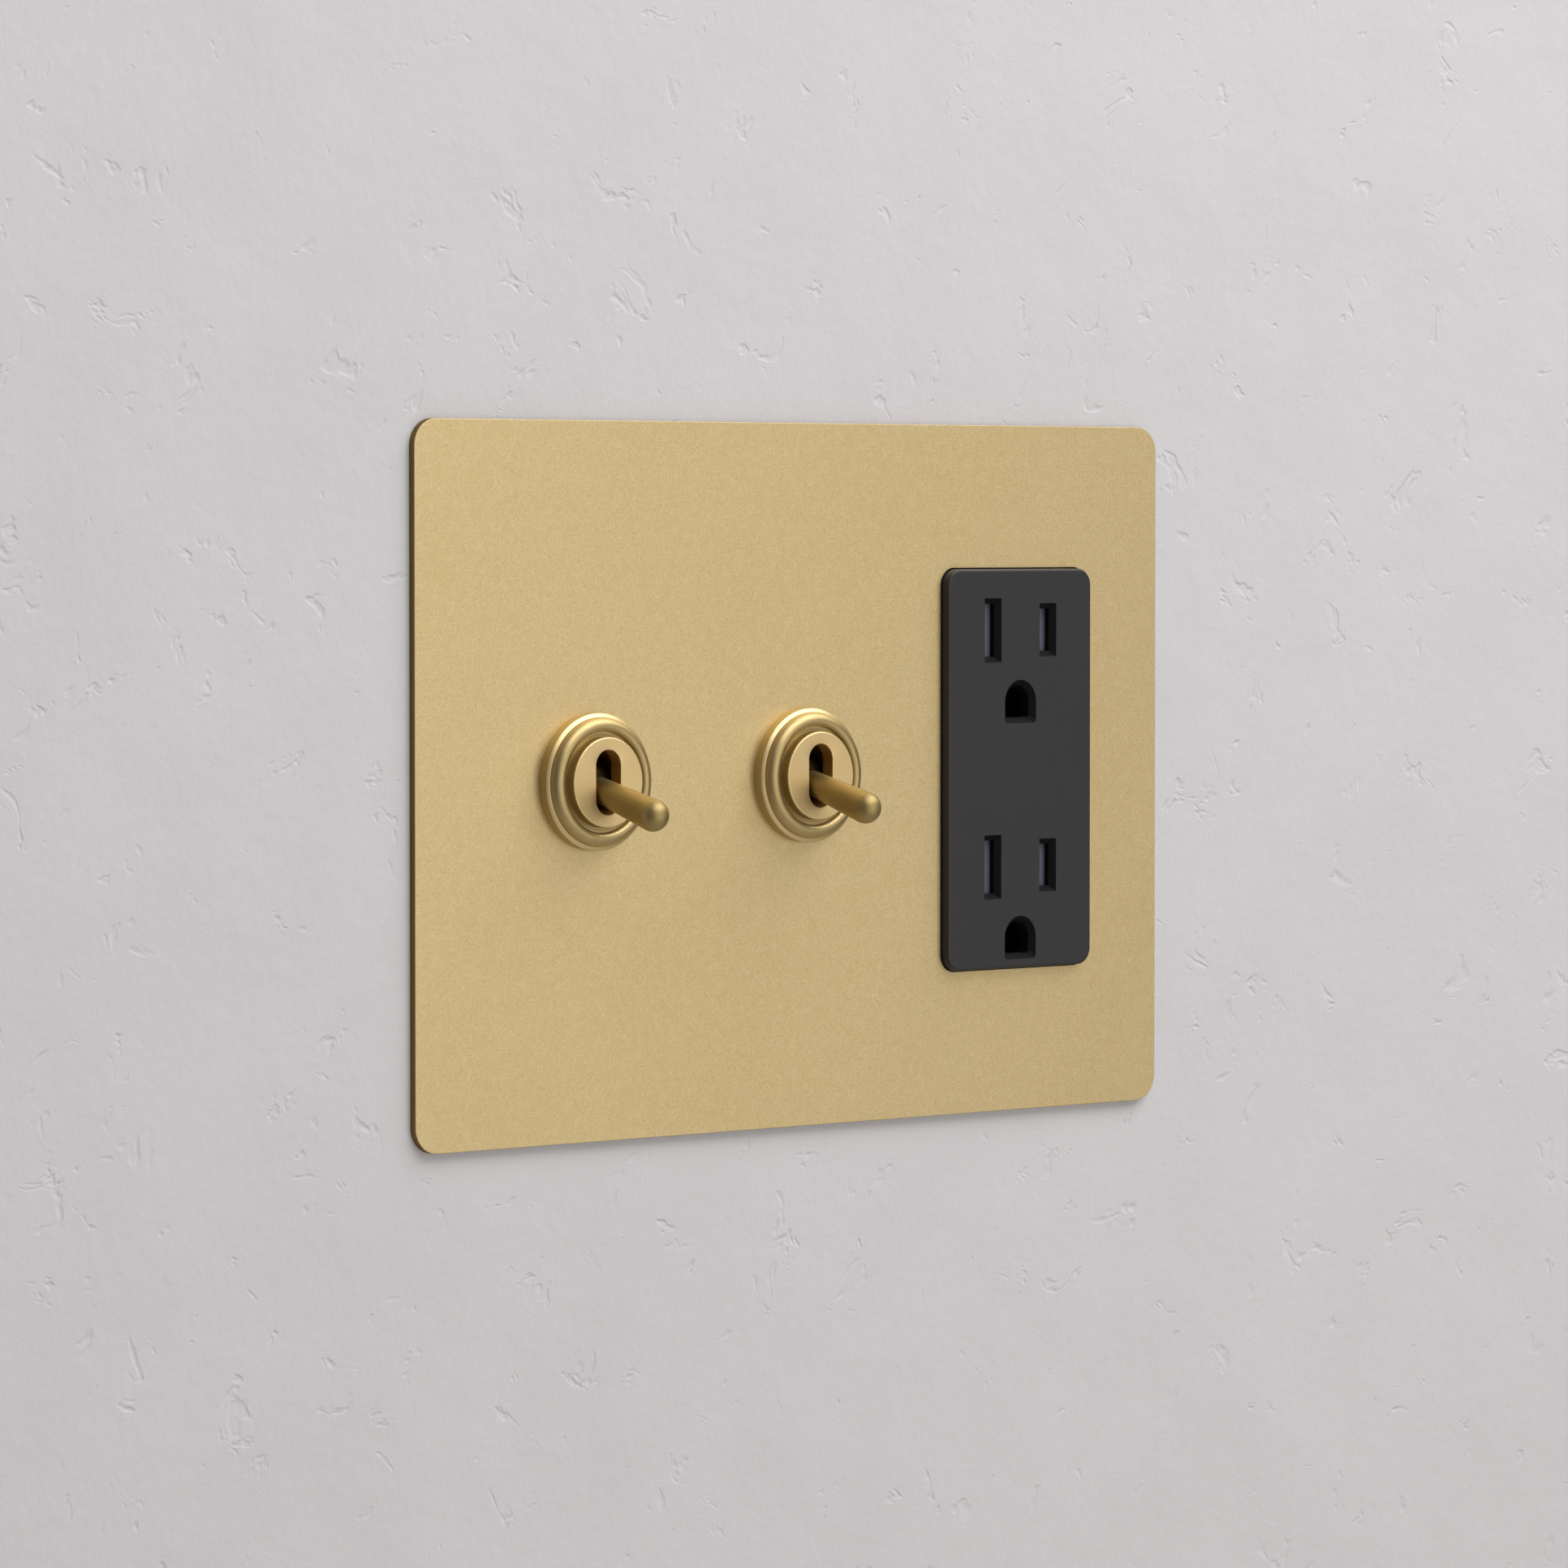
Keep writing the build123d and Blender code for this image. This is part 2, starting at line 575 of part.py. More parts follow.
with BuildPart() as outlet_body:
    with BuildSketch(level(outlet_depth)):
        with Locations((outlet_x, 0)):
            RectangleRounded(outlet_w, outlet_h, outlet_corner)
    extrude(amount=outlet_split - outlet_depth)
    with BuildSketch(level(outlet_depth + outlet_wall)):
        with Locations((outlet_x, 0)):
            RectangleRounded(inner_w, inner_h, 1.0)
    extrude(amount=outlet_split - outlet_depth - outlet_wall, mode=Mode.SUBTRACT)
    with BuildSketch(level(outlet_depth + outlet_wall)):
        with Locations(*post_places):
            Circle(post_r)
    extrude(amount=outlet_split - outlet_depth - outlet_wall)
    for notch_z in terminal_z:
        with BuildSketch(level(outlet_split)):
            with Locations((outlet_x, notch_z)):
                Rectangle(outlet_w + 2, side_notch_h)
        extrude(amount=-side_notch_d, mode=Mode.SUBTRACT)
    with BuildSketch(level(outlet_split)):
        with Locations((outlet_x - 8.0, -outlet_h / 2)):
            Rectangle(8.4, 5.0)
    extrude(amount=-side_notch_d, mode=Mode.SUBTRACT)
    with BuildSketch(level(outlet_depth)):
        with Locations(*post_places):
            Circle(1.15)
    extrude(amount=outlet_split - outlet_depth, mode=Mode.SUBTRACT)
outlet_body.part.label = "outlet_body"
export_step(outlet_body.part, "parts/outlet_body.step")

with BuildPart() as body_screws:
    with BuildSketch(level(outlet_depth)):
        with Locations(*post_places):
            Circle(2.2)
    extrude(amount=-1.4)
    with BuildSketch(level(outlet_depth)):
        with Locations(*post_places):
            Circle(1.1)
    extrude(amount=outlet_split - outlet_depth + 8.0)
body_screws.part.label = "body_screws"
export_step(body_screws.part, "parts/body_screws.step")

# Line and neutral contacts: a bus strip with a two-leaf clip for each blade and two screw plates.
bus_height, leaf_front, leaf_t, leaf_gap = -17.5, -1.2, 0.6, 1.7
bus_low, bus_high = blade_rows["lower"] - 4.0, blade_rows["upper"] + 4.0
screw_height, screw_plate_x = -14.0, 15.3
for bus_name, bus_side in (("neutral_bus", -1), ("hot_bus", 1)):
    bus_x = outlet_x + bus_side * blade_pitch / 2
    with BuildPart() as bus:
        with BuildSketch(level(bus_height)):
            with Locations((bus_x, (bus_low + bus_high) / 2)):
                Rectangle(2 * leaf_t + leaf_gap, bus_high - bus_low)
        extrude(amount=-1.0)
        with BuildSketch(level(bus_height)):
            for row_z in blade_rows.values():
                with Locations(*[(bus_x + s * (leaf_gap + leaf_t) / 2, row_z) for s in (-1, 1)]):
                    Rectangle(leaf_t, 8.0)
        extrude(amount=leaf_front - bus_height)
        for plate_z in terminal_z:
            arm_mid = (bus_x + outlet_x + bus_side * screw_plate_x) / 2
            arm_len = screw_plate_x - blade_pitch / 2 + 0.8
            with BuildSketch(level(bus_height)):
                with Locations((arm_mid, plate_z)):
                    Rectangle(arm_len, 8.0)
            extrude(amount=-1.0)
            with BuildSketch(level(bus_height)):
                with Locations((outlet_x + bus_side * screw_plate_x, plate_z)):
                    Rectangle(0.8, 8.0)
            extrude(amount=7.5)
            with BuildSketch(sideways(outlet_x + bus_side * screw_plate_x)):
                with Locations((plate_z, screw_height)):
                    Circle(1.8)
            extrude(amount=1.0, both=True, mode=Mode.SUBTRACT)
    bus.part.label = bus_name
    export_step(bus.part, f"parts/{bus_name}.step")

for screw_name, screw_side in (("neutral_screws", -1), ("hot_screws", 1)):
    with BuildPart() as side_screws:
        seat_x = outlet_x + screw_side * (screw_plate_x + 1.3)
        for plate_z in terminal_z:
            with BuildSketch(sideways(seat_x)):
                with Locations((plate_z, screw_height)):
                    Circle(3.8)
            extrude(amount=screw_side * 1.8)
            with BuildSketch(sideways(seat_x)):
                with Locations((plate_z, screw_height)):
                    Circle(1.75)
            extrude(amount=screw_side * -4.5)
            with BuildSketch(sideways(seat_x + screw_side * 1.8)):
                with Locations((plate_z, screw_height)):
                    Rectangle(5.6, 1.0)
            extrude(amount=screw_side * -0.9, mode=Mode.SUBTRACT)
    side_screws.part.label = screw_name
    export_step(side_screws.part, f"parts/{screw_name}.step")

ground_plate_z = -outlet_h / 2 + 1.4
with BuildPart() as ground_bus:
    ground_rows = [row_z - ground_drop for row_z in blade_rows.values()]
    ground_top, ground_foot = max(ground_rows) + 3.0, ground_plate_z + 1.0
    with BuildSketch(level(bus_height)):
        with Locations((outlet_x, (ground_top + ground_foot) / 2)):
            Rectangle(5.6, ground_top - ground_foot)
        with Locations((outlet_x - 5.7, ground_foot + 3.5)):
            Rectangle(11.0, 7.0)
        with Locations((outlet_x - 8.0, ground_foot - 0.5)):
            Rectangle(8.0, 1.8)
    extrude(amount=-1.0)
    with BuildSketch(level(bus_height)):
        for ground_z in ground_rows:
            with Locations(*[(outlet_x + s * 2.75, ground_z) for s in (-1, 1)]):
                Rectangle(leaf_t, 5.0)
    extrude(amount=leaf_front - bus_height)
    with BuildSketch(level(bus_height)):
        with Locations((outlet_x - 8.0, ground_plate_z)):
            Rectangle(8.0, 0.8)
    extrude(amount=7.5)
    with BuildSketch(Plane.XY.offset(ground_plate_z)):
        with Locations((outlet_x - 8.0, -screw_height)):
            Circle(1.8)
    extrude(amount=1.0, both=True, mode=Mode.SUBTRACT)
ground_bus.part.label = "ground_bus"
export_step(ground_bus.part, "parts/ground_bus.step")

with BuildPart() as ground_screw:
    seat_z = ground_plate_z - 1.4
    with BuildSketch(Plane.XY.offset(seat_z)):
        with Locations((outlet_x - 8.0, -screw_height)):
            RegularPolygon(radius=3.6, side_count=6)
    extrude(amount=-2.0)
    with BuildSketch(Plane.XY.offset(seat_z)):
        with Locations((outlet_x - 8.0, -screw_height)):
            Circle(1.75)
    extrude(amount=4.6)
ground_screw.part.label = "ground_screw"
export_step(ground_screw.part, "parts/ground_screw.step")

# Safety shutters: a sprung bar behind each pair of blade slots, closed at rest.
shutter_front, shutter_t, shutter_h = outlet_front - outlet_front_t - play, 2.4, 11.0
shutter_left, shutter_right = -11.5, 8.5
for row_name, row_z in blade_rows.items():
    with BuildPart() as shutter:
        with BuildSketch(level(shutter_front)):
            with Locations((outlet_x + (shutter_left + shutter_right) / 2, row_z)):
                Rectangle(shutter_right - shutter_left, shutter_h)
            with Locations(*[(outlet_x + s * blade_pitch / 2 - shutter_travel, row_z) for s in (-1, 1)]):
                Rectangle(blade_slot_w + 0.4, neutral_h + 0.3, mode=Mode.SUBTRACT)
        extrude(amount=-shutter_t)
    shutter.part.label = f"{row_name}_shutter"
    export_step(shutter.part, f"parts/{row_name}_shutter.step")

    spring_foot = (outlet_x + shutter_right + 0.25, shutter_t / 2 - shutter_front, row_z)
    spring_len = inner_w / 2 - shutter_right - 0.5
    with BuildPart() as shutter_spring:
        with BuildLine() as coil:
            Helix(pitch=1.0, height=spring_len, radius=0.9, center=spring_foot, direction=(1, 0, 0))
        with BuildSketch(Plane(origin=coil.line @ 0, z_dir=coil.line % 0)):
            Circle(0.15)
        sweep(path=coil.line, is_frenet=True)
    shutter_spring.part.label = f"{row_name}_shutter_spring"
    export_step(shutter_spring.part, f"parts/{row_name}_shutter_spring.step")
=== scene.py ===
"""Looks of a three gang brass wall plate with two toggle switches and a twin socket outlet."""

import json
import logging
from dataclasses import dataclass, field
from enum import Enum
from math import cos, pi, radians, sin
from typing import Any, Callable

import bmesh
import bpy
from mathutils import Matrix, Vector


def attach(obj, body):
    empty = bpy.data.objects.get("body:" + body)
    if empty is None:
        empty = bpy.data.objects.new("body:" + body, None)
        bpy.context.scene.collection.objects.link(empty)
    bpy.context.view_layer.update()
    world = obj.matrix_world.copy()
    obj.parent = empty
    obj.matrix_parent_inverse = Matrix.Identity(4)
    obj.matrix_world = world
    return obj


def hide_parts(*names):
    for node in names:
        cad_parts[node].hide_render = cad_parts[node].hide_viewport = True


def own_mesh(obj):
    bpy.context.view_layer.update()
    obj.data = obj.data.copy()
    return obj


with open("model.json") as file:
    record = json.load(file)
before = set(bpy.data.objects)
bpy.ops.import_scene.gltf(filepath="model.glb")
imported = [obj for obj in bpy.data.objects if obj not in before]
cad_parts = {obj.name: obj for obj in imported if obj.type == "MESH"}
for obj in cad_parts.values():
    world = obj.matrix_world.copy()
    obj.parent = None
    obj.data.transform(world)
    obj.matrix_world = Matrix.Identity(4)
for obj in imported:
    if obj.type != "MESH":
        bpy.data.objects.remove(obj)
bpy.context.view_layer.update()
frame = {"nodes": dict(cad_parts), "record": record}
log = logging.getLogger("wall_plate")

MM = 0.001
Pair = tuple[float, float]
Point = tuple[float, float, float]
Profile = list[Pair]
Test = Callable[[Any], bool]

# heights towards the room, in millimetres, from the seat of the device straps
WALL_FACE = 2.5
PLATE_FRONT = 3.9
HEAD_FRONT = 8.1
PIVOT = 1.7
OUTLET_FRONT = 5.55
DEVICE_X = {"left": -45.14, "middle": 0.2, "outlet": 47.54}


class Slot(Enum):
    """Material slots of the record that new pieces take their finish from."""

    SATIN_BRASS = "satin_brass"
    TURNED_BRASS = "turned_brass"
    GREY_PLASTIC = "grey_thermoplastic"
    BLACK_NYLON = "black_nylon"
    ZINC_STEEL = "zinc_steel"
    GROUND_STEEL = "ground_steel"
    SPRING_STEEL = "spring_steel"
    ACETAL = "acetal"
    SHUTTER = "shutter_plastic"
    CONTACT_BRASS = "contact_brass"
    COPPER = "copper_contact"
    BRASS_SCREW = "brass_screw"
    NICKEL_SCREW = "nickel_screw"
    GREEN_SCREW = "green_screw"


# ---- materials ----


def linear(hex_colour: str) -> tuple[float, float, float, float]:
    """Turns an sRGB hex colour into linear light.

    Args:
        hex_colour: six hex digits with a leading hash.
    Returns:
        Red, green, blue and alpha, linear.
    """
    channels = [int(hex_colour[i:i + 2], 16) / 255 for i in (1, 3, 5)]
    light = [c / 12.92 if c <= 0.04045 else ((c + 0.055) / 1.055) ** 2.4 for c in channels]
    return light[0], light[1], light[2], 1.0


def add_node(tree: bpy.types.NodeTree, kind: str, settings: dict[str, Any] | None = None,
             links: dict[str | int, bpy.types.NodeSocket] | None = None) -> bpy.types.Node:
    """Adds a node with its settings and links.

    Args:
        tree: node tree that gets the node.
        kind: type name of the node.
        settings: values of inputs or properties by name; "#n" is the input of that number.
        links: output sockets that feed inputs, by input name or number.
    Returns:
        The new node.
    """
    made = tree.nodes.new(kind)
    for name, value in (settings or {}).items():
        if name.startswith("#"):
            made.inputs[int(name[1:])].default_value = value
        elif name in made.inputs:
            made.inputs[name].default_value = value
        else:
            setattr(made, name, value)
    for name, socket in (links or {}).items():
        tree.links.new(socket, made.inputs[name])
    return made


def per_metre(size_mm: float) -> float:
    """Texture scale in metres for a feature of a size in millimetres."""
    return 1000.0 / size_mm


@dataclass(frozen=True)
class Finish:
    """What every finish has: a name, a main and a second colour, and its gloss.

    Attributes:
        name: name of the material.
        colour: sRGB hex of the clean surface.
        shade: sRGB hex of the patches that are a little off.
        roughness: middle roughness.
        spread: how far the roughness wanders to each side.
        patch_mm: size of the colour patches.
        grain_mm: size of the fine grain.
        grain_depth_mm: depth of the fine grain.
        metallic: one for bare metal, zero for plastic and paint.
        specular: strength of the sheen of a plastic or paint.
    """

    name: str
    colour: str
    shade: str
    roughness: float
    spread: float
    patch_mm: float
    grain_mm: float
    grain_depth_mm: float
    metallic: float = 1.0
    specular: float = 0.5

    def start(self) -> tuple[bpy.types.Material, bpy.types.NodeTree, bpy.types.Node]:
        """Makes the material with its shader and output.

        Returns:
            The material, its node tree and its shader.
        """
        material = bpy.data.materials.new(self.name)
        material.use_nodes = True
        tree = material.node_tree
        tree.nodes.clear()
        shader = add_node(tree, "ShaderNodeBsdfPrincipled",
                          {"Metallic": self.metallic, "Roughness": self.roughness,
                           "Specular IOR Level": self.specular})
        add_node(tree, "ShaderNodeOutputMaterial", links={"Surface": shader.outputs["BSDF"]})
        return material, tree, shader

    def build(self) -> bpy.types.Material:
        """Makes the whole material: patches of colour and gloss, and a fine grain.

        Returns:
            The material.
        """
        material, tree, shader = self.start()
        place = add_node(tree, "ShaderNodeTexCoord").outputs["Object"]
        patch = add_node(tree, "ShaderNodeTexNoise",
                         {"Scale": per_metre(self.patch_mm), "Detail": 4.0, "Roughness": 0.6},
                         {"Vector": place})
        grain = add_node(tree, "ShaderNodeTexNoise",
                         {"Scale": per_metre(self.grain_mm), "Detail": 2.0, "Roughness": 0.5},
                         {"Vector": place})
        tone = add_node(tree, "ShaderNodeMix",
                        {"data_type": "RGBA", "#6": linear(self.colour), "#7": linear(self.shade)},
                        {"Factor": patch.outputs["Fac"]})
        gloss = add_node(tree, "ShaderNodeMapRange",
                         {"From Min": 0.3, "From Max": 0.7, "To Min": self.roughness - self.spread,
                          "To Max": self.roughness + self.spread},
                         {"Value": grain.outputs["Fac"]})
        bump = add_node(tree, "ShaderNodeBump",
                        {"Strength": 0.7, "Distance": self.grain_depth_mm * MM},
                        {"Height": grain.outputs["Fac"]})
        tree.links.new(tone.outputs[2], shader.inputs["Base Color"])
        tree.links.new(gloss.outputs[0], shader.inputs["Roughness"])
        tree.links.new(bump.outputs["Normal"], shader.inputs["Normal"])
        return material


@dataclass(frozen=True)
class BrushedBrass(Finish):
    """Sheet brass rubbed by hand with an abrasive pad, in every direction.

    Attributes:
        scratch_mm: length and width of one hairline.
        lays: directions of the strokes in the sheet, in degrees.
        scratch_depth_mm: depth of a hairline.
    """

    scratch_mm: Pair = (3.2, 0.17)
    lays: tuple[float, ...] = (3.0, 47.0, 92.0, 139.0)
    scratch_depth_mm: float = 0.002

    def build(self) -> bpy.types.Material:
        """Makes the brass: soft colour patches, fine grain and crossing hairlines.

        Returns:
            The material.
        """
        material, tree, shader = self.start()
        place = add_node(tree, "ShaderNodeTexCoord").outputs["Object"]
        long, wide = self.scratch_mm
        lines = None
        for lay in self.lays:
            turn = add_node(tree, "ShaderNodeMapping", {"Rotation": (0.0, radians(lay), 0.0)},
                            {"Vector": place})
            stroke = add_node(tree, "ShaderNodeMapping",
                              {"Scale": (per_metre(long), 1.0, per_metre(wide)),
                               "Location": (lay, lay, lay)},
                              {"Vector": turn.outputs[0]})
            hair = add_node(tree, "ShaderNodeTexNoise", {"Scale": 1.0, "Detail": 1.0, "Roughness": 0.4},
                            {"Vector": stroke.outputs[0]})
            crisp = add_node(tree, "ShaderNodeMapRange",
                             {"From Min": 0.56, "From Max": 0.72, "To Min": 0.0, "To Max": 1.0},
                             {"Value": hair.outputs["Fac"]})
            if lines is None:
                lines = crisp
            else:
                lines = add_node(tree, "ShaderNodeMath", {"operation": "MAXIMUM"},
                                 {0: lines.outputs[0], 1: crisp.outputs[0]})
        patch = add_node(tree, "ShaderNodeTexNoise",
                         {"Scale": per_metre(self.patch_mm), "Detail": 5.0, "Roughness": 0.62},
                         {"Vector": place})
        grain = add_node(tree, "ShaderNodeTexNoise",
                         {"Scale": per_metre(self.grain_mm), "Detail": 2.0, "Roughness": 0.6},
                         {"Vector": place})
        tone = add_node(tree, "ShaderNodeMix",
                        {"data_type": "RGBA", "#6": linear(self.colour), "#7": linear(self.shade)},
                        {"Factor": patch.outputs["Fac"]})
        paler = add_node(tree, "ShaderNodeMath", {"operation": "MULTIPLY", "#1": 0.28},
                         {0: lines.outputs[0]})
        deeper = add_node(tree, "ShaderNodeMapRange",
                          {"From Min": 0.50, "From Max": 0.32, "To Min": 0.0, "To Max": 0.45},
                          {"Value": grain.outputs["Fac"]})
        bright = add_node(tree, "ShaderNodeMix", {"data_type": "RGBA", "#7": linear("#FFF0C8")},
                          {"Factor": paler.outputs[0], 6: tone.outputs[2]})
        hairs = add_node(tree, "ShaderNodeMix", {"data_type": "RGBA", "#7": linear("#BFA56C")},
                         {"Factor": deeper.outputs[0], 6: bright.outputs[2]})
        gloss = add_node(tree, "ShaderNodeMapRange",
                         {"From Min": 0.3, "From Max": 0.7, "To Min": self.roughness - self.spread,
                          "To Max": self.roughness + self.spread},
                         {"Value": grain.outputs["Fac"]})
        fine = add_node(tree, "ShaderNodeBump",
                        {"Strength": 0.5, "Distance": self.grain_depth_mm * MM},
                        {"Height": grain.outputs["Fac"]})
        bump = add_node(tree, "ShaderNodeBump",
                        {"Strength": 0.5, "Distance": self.scratch_depth_mm * MM, "invert": True},
                        {"Height": lines.outputs[0], "Normal": fine.outputs["Normal"]})
        tree.links.new(hairs.outputs[2], shader.inputs["Base Color"])
        tree.links.new(gloss.outputs[0], shader.inputs["Roughness"])
        tree.links.new(bump.outputs["Normal"], shader.inputs["Normal"])
        return material


@dataclass(frozen=True)
class TrowelledPlaster(Finish):
    """Painted plaster wall: soft trowel waves, fine roller grain and a few small pits.

    Attributes:
        wave_mm: length of a trowel wave.
        pit_mm: spacing of the pits.
    """

    wave_mm: float = 26.0
    pit_mm: float = 9.0

    def build(self) -> bpy.types.Material:
        """Makes the plaster, which is clear from behind, so that the back can be seen.

        Returns:
            The material.
        """
        material, tree, shader = self.start()
        place = add_node(tree, "ShaderNodeTexCoord").outputs["Object"]
        wave = add_node(tree, "ShaderNodeTexNoise",
                        {"Scale": per_metre(self.wave_mm), "Detail": 3.0, "Roughness": 0.5},
                        {"Vector": place})
        grain = add_node(tree, "ShaderNodeTexNoise",
                         {"Scale": per_metre(self.grain_mm), "Detail": 4.0, "Roughness": 0.6},
                         {"Vector": place})
        pits = add_node(tree, "ShaderNodeTexNoise",
                        {"Scale": per_metre(self.pit_mm), "Detail": 3.0, "Roughness": 0.75,
                         "Distortion": 0.6},
                        {"Vector": place})
        pit = add_node(tree, "ShaderNodeMapRange",
                       {"From Min": 0.62, "From Max": 0.70, "To Min": 0.0, "To Max": -1.0},
                       {"Value": pits.outputs["Fac"]})
        tone = add_node(tree, "ShaderNodeMix",
                        {"data_type": "RGBA", "#6": linear(self.colour), "#7": linear(self.shade)},
                        {"Factor": wave.outputs["Fac"]})
        soft = add_node(tree, "ShaderNodeBump", {"Strength": 0.45, "Distance": 1.2 * MM},
                        {"Height": wave.outputs["Fac"]})
        fine = add_node(tree, "ShaderNodeBump", {"Strength": 0.5, "Distance": self.grain_depth_mm * MM},
                        {"Height": grain.outputs["Fac"], "Normal": soft.outputs["Normal"]})
        bump = add_node(tree, "ShaderNodeBump", {"Strength": 0.6, "Distance": 0.25 * MM},
                        {"Height": pit.outputs[0], "Normal": fine.outputs["Normal"]})
        tree.links.new(tone.outputs[2], shader.inputs["Base Color"])
        tree.links.new(bump.outputs["Normal"], shader.inputs["Normal"])
        clear = add_node(tree, "ShaderNodeBsdfTransparent")
        side = add_node(tree, "ShaderNodeNewGeometry")
        sort = add_node(tree, "ShaderNodeMixShader",
                        links={0: side.outputs["Backfacing"], 1: shader.outputs["BSDF"],
                               2: clear.outputs["BSDF"]})
        output = next(n for n in tree.nodes if n.type == "OUTPUT_MATERIAL")
        tree.links.new(sort.outputs[0], output.inputs["Surface"])
        return material


# Rolled brass sheet, hand rubbed with an abrasive pad: a pale warm sheen with crossing hairlines.
RUBBED_SHEET_BRASS = BrushedBrass("rolled_brass_pad_rubbed", "#E7D09E", "#DEC794", 0.54, 0.05,
                                  38.0, 0.24, 0.014)
# Turned brass bar, faced and rubbed, with painted light: its paler colour makes the flat disc show a
# little paler than the plate.
PAINTED_LIGHT_BRASS = Finish("turned_brass_painted_light", "#ECD29E", "#E2C78F", 0.50, 0.06, 7.0, 0.24, 0.012)
# The ring, turned and fine blasted, no tool marks left: an olive gold darkened as painted shade on the
# dome and on the side of the disc.
PAINTED_SHADE_RING_BRASS = Finish("turned_brass_ring_painted_shade", "#C6B07E", "#B7A06E", 0.46, 0.06, 7.0, 0.24, 0.014)
# Chamfer of the ring, a touch smoother than the dome, with a painted highlight: its paler colour makes it
# the brightest line on the switch.
PAINTED_HIGHLIGHT_BRASS = Finish("turned_brass_chamfer_painted_highlight", "#E6CE9A", "#DCC48F", 0.44, 0.04, 5.0, 0.2,
                         0.004)
# Walls of the toggle's slot, milled and never rubbed: rough, with painted light, a saturated gold that
# stands in for the light they catch.
PAINTED_LIGHT_SLOT_BRASS = Finish("turned_brass_slot_painted_light", "#D2A75C", "#C29648", 0.85, 0.08, 3.0, 0.2, 0.010)
# Turned brass darkened as painted shade: the lever is deeper and browner than the ring.
PAINTED_SHADE_LEVER_BRASS = Finish("turned_brass_lever_painted_shade", "#B09B68", "#A08B59", 0.50, 0.06, 6.0, 0.24, 0.014)
# Sheared edge of the brass sheet, with painted shade: darker and duller than the face.
PAINTED_SHADE_EDGE_BRASS = Finish("rolled_brass_edge_painted_shade", "#8B7145", "#7C6339", 0.50, 0.06, 9.0, 0.3,
                       0.010)
# Painted shade on the lever's hub and tail: dark brown, it darkens the slot.
PAINTED_SHADE_HUB_BRASS = Finish("turned_brass_hub_painted_shade", "#3A2C16", "#2A1F0E", 0.45, 0.06, 3.0, 0.3, 0.006)
# Walls of the moulded openings, coarsely sparked by the mould's pins, so duller than the face, and darker
# as painted shade.
PAINTED_SHADE_CHARCOAL = Finish("charcoal_thermoplastic_openings_painted_shade", "#151415", "#1B1A1B", 0.70, 0.05, 6.0,
                        0.4, 0.004, metallic=0.0, specular=0.08)
# Glass filled thermoplastic from a spark eroded mould: deep charcoal, matt, with a fine even tooth.
MOULDED_CHARCOAL = Finish("charcoal_thermoplastic_spark_moulded", "#262526", "#2C2A2B", 0.50, 0.06,
                          14.0, 0.30, 0.012, metallic=0.0)
# Black nylon from a polished mould: a little glossier, with flow marks.
MOULDED_NYLON = Finish("black_nylon_moulded", "#1B1B1D", "#242426", 0.38, 0.07, 12.0, 0.5,
                       0.010, metallic=0.0)
# Zinc plated pressed steel: cool bright grey with a faint spangle.
ZINC_PLATE = Finish("pressed_steel_zinc_plated", "#C3C6C8", "#A9AEB2", 0.34, 0.08, 5.0, 0.35, 0.006)
# Ground steel pin: bright and smooth.
GROUND_PIN = Finish("steel_centreless_ground", "#BDBEC0", "#AEB0B3", 0.20, 0.04, 3.0, 0.12, 0.002)
# Drawn spring wire: dark oily steel.
DRAWN_WIRE = Finish("spring_wire_drawn", "#8E8D8B", "#7A7978", 0.30, 0.06, 2.0, 0.10, 0.003)
# Milky acetal: a slippery off white moulding.
MOULDED_ACETAL = Finish("acetal_moulded", "#E6E3DA", "#DAD6CB", 0.36, 0.05, 5.0, 0.4, 0.005,
                        metallic=0.0)
# Blue grey shutter nylon: a pale strip at the left of each blade slot.
MOULDED_SHUTTER = Finish("shutter_nylon_moulded", "#5B5F70", "#535768", 0.42, 0.05, 6.0, 0.4,
                         0.006, metallic=0.0)
# Half hard contact brass strip, blanked and bent: yellow with rolling streaks.
BLANKED_STRIP = Finish("contact_brass_blanked", "#D9B25E", "#C79E4C", 0.28, 0.07, 7.0, 0.3, 0.004)
# Copper contact, punched: pink metal that has begun to tarnish.
PUNCHED_COPPER = Finish("copper_punched", "#D08A66", "#B87352", 0.30, 0.08, 4.0, 0.3, 0.004)
# Brass terminal screws, tumbled.
TUMBLED_BRASS = Finish("brass_screw_tumbled", "#D8B464", "#C6A152", 0.26, 0.06, 3.0, 0.25, 0.004)
# Nickel plated terminal screws.
PLATED_NICKEL = Finish("screw_nickel_plated", "#CFCBC2", "#BDB9B0", 0.22, 0.05, 3.0, 0.25, 0.003)
# Green dyed earth screw: lacquer over steel.
GREEN_LACQUER = Finish("earth_screw_green_dyed", "#2F8A4C", "#27733F", 0.30, 0.06, 3.0, 0.25,
                       0.003, metallic=0.6)
# Painted trowelled plaster of the wall.
WALL_PLASTER = TrowelledPlaster("plaster_trowelled_painted", "#DAD8D9", "#D3D1D2", 0.85, 0.0,
                                60.0, 2.4, 0.22, metallic=0.0)
# Pale matt floor of the studio.
FLOOR_PAINT = Finish("floor_matt_painted", "#D8D6D4", "#D2D0CE", 0.8, 0.03, 300.0, 3.0, 0.05,
                     metallic=0.0)

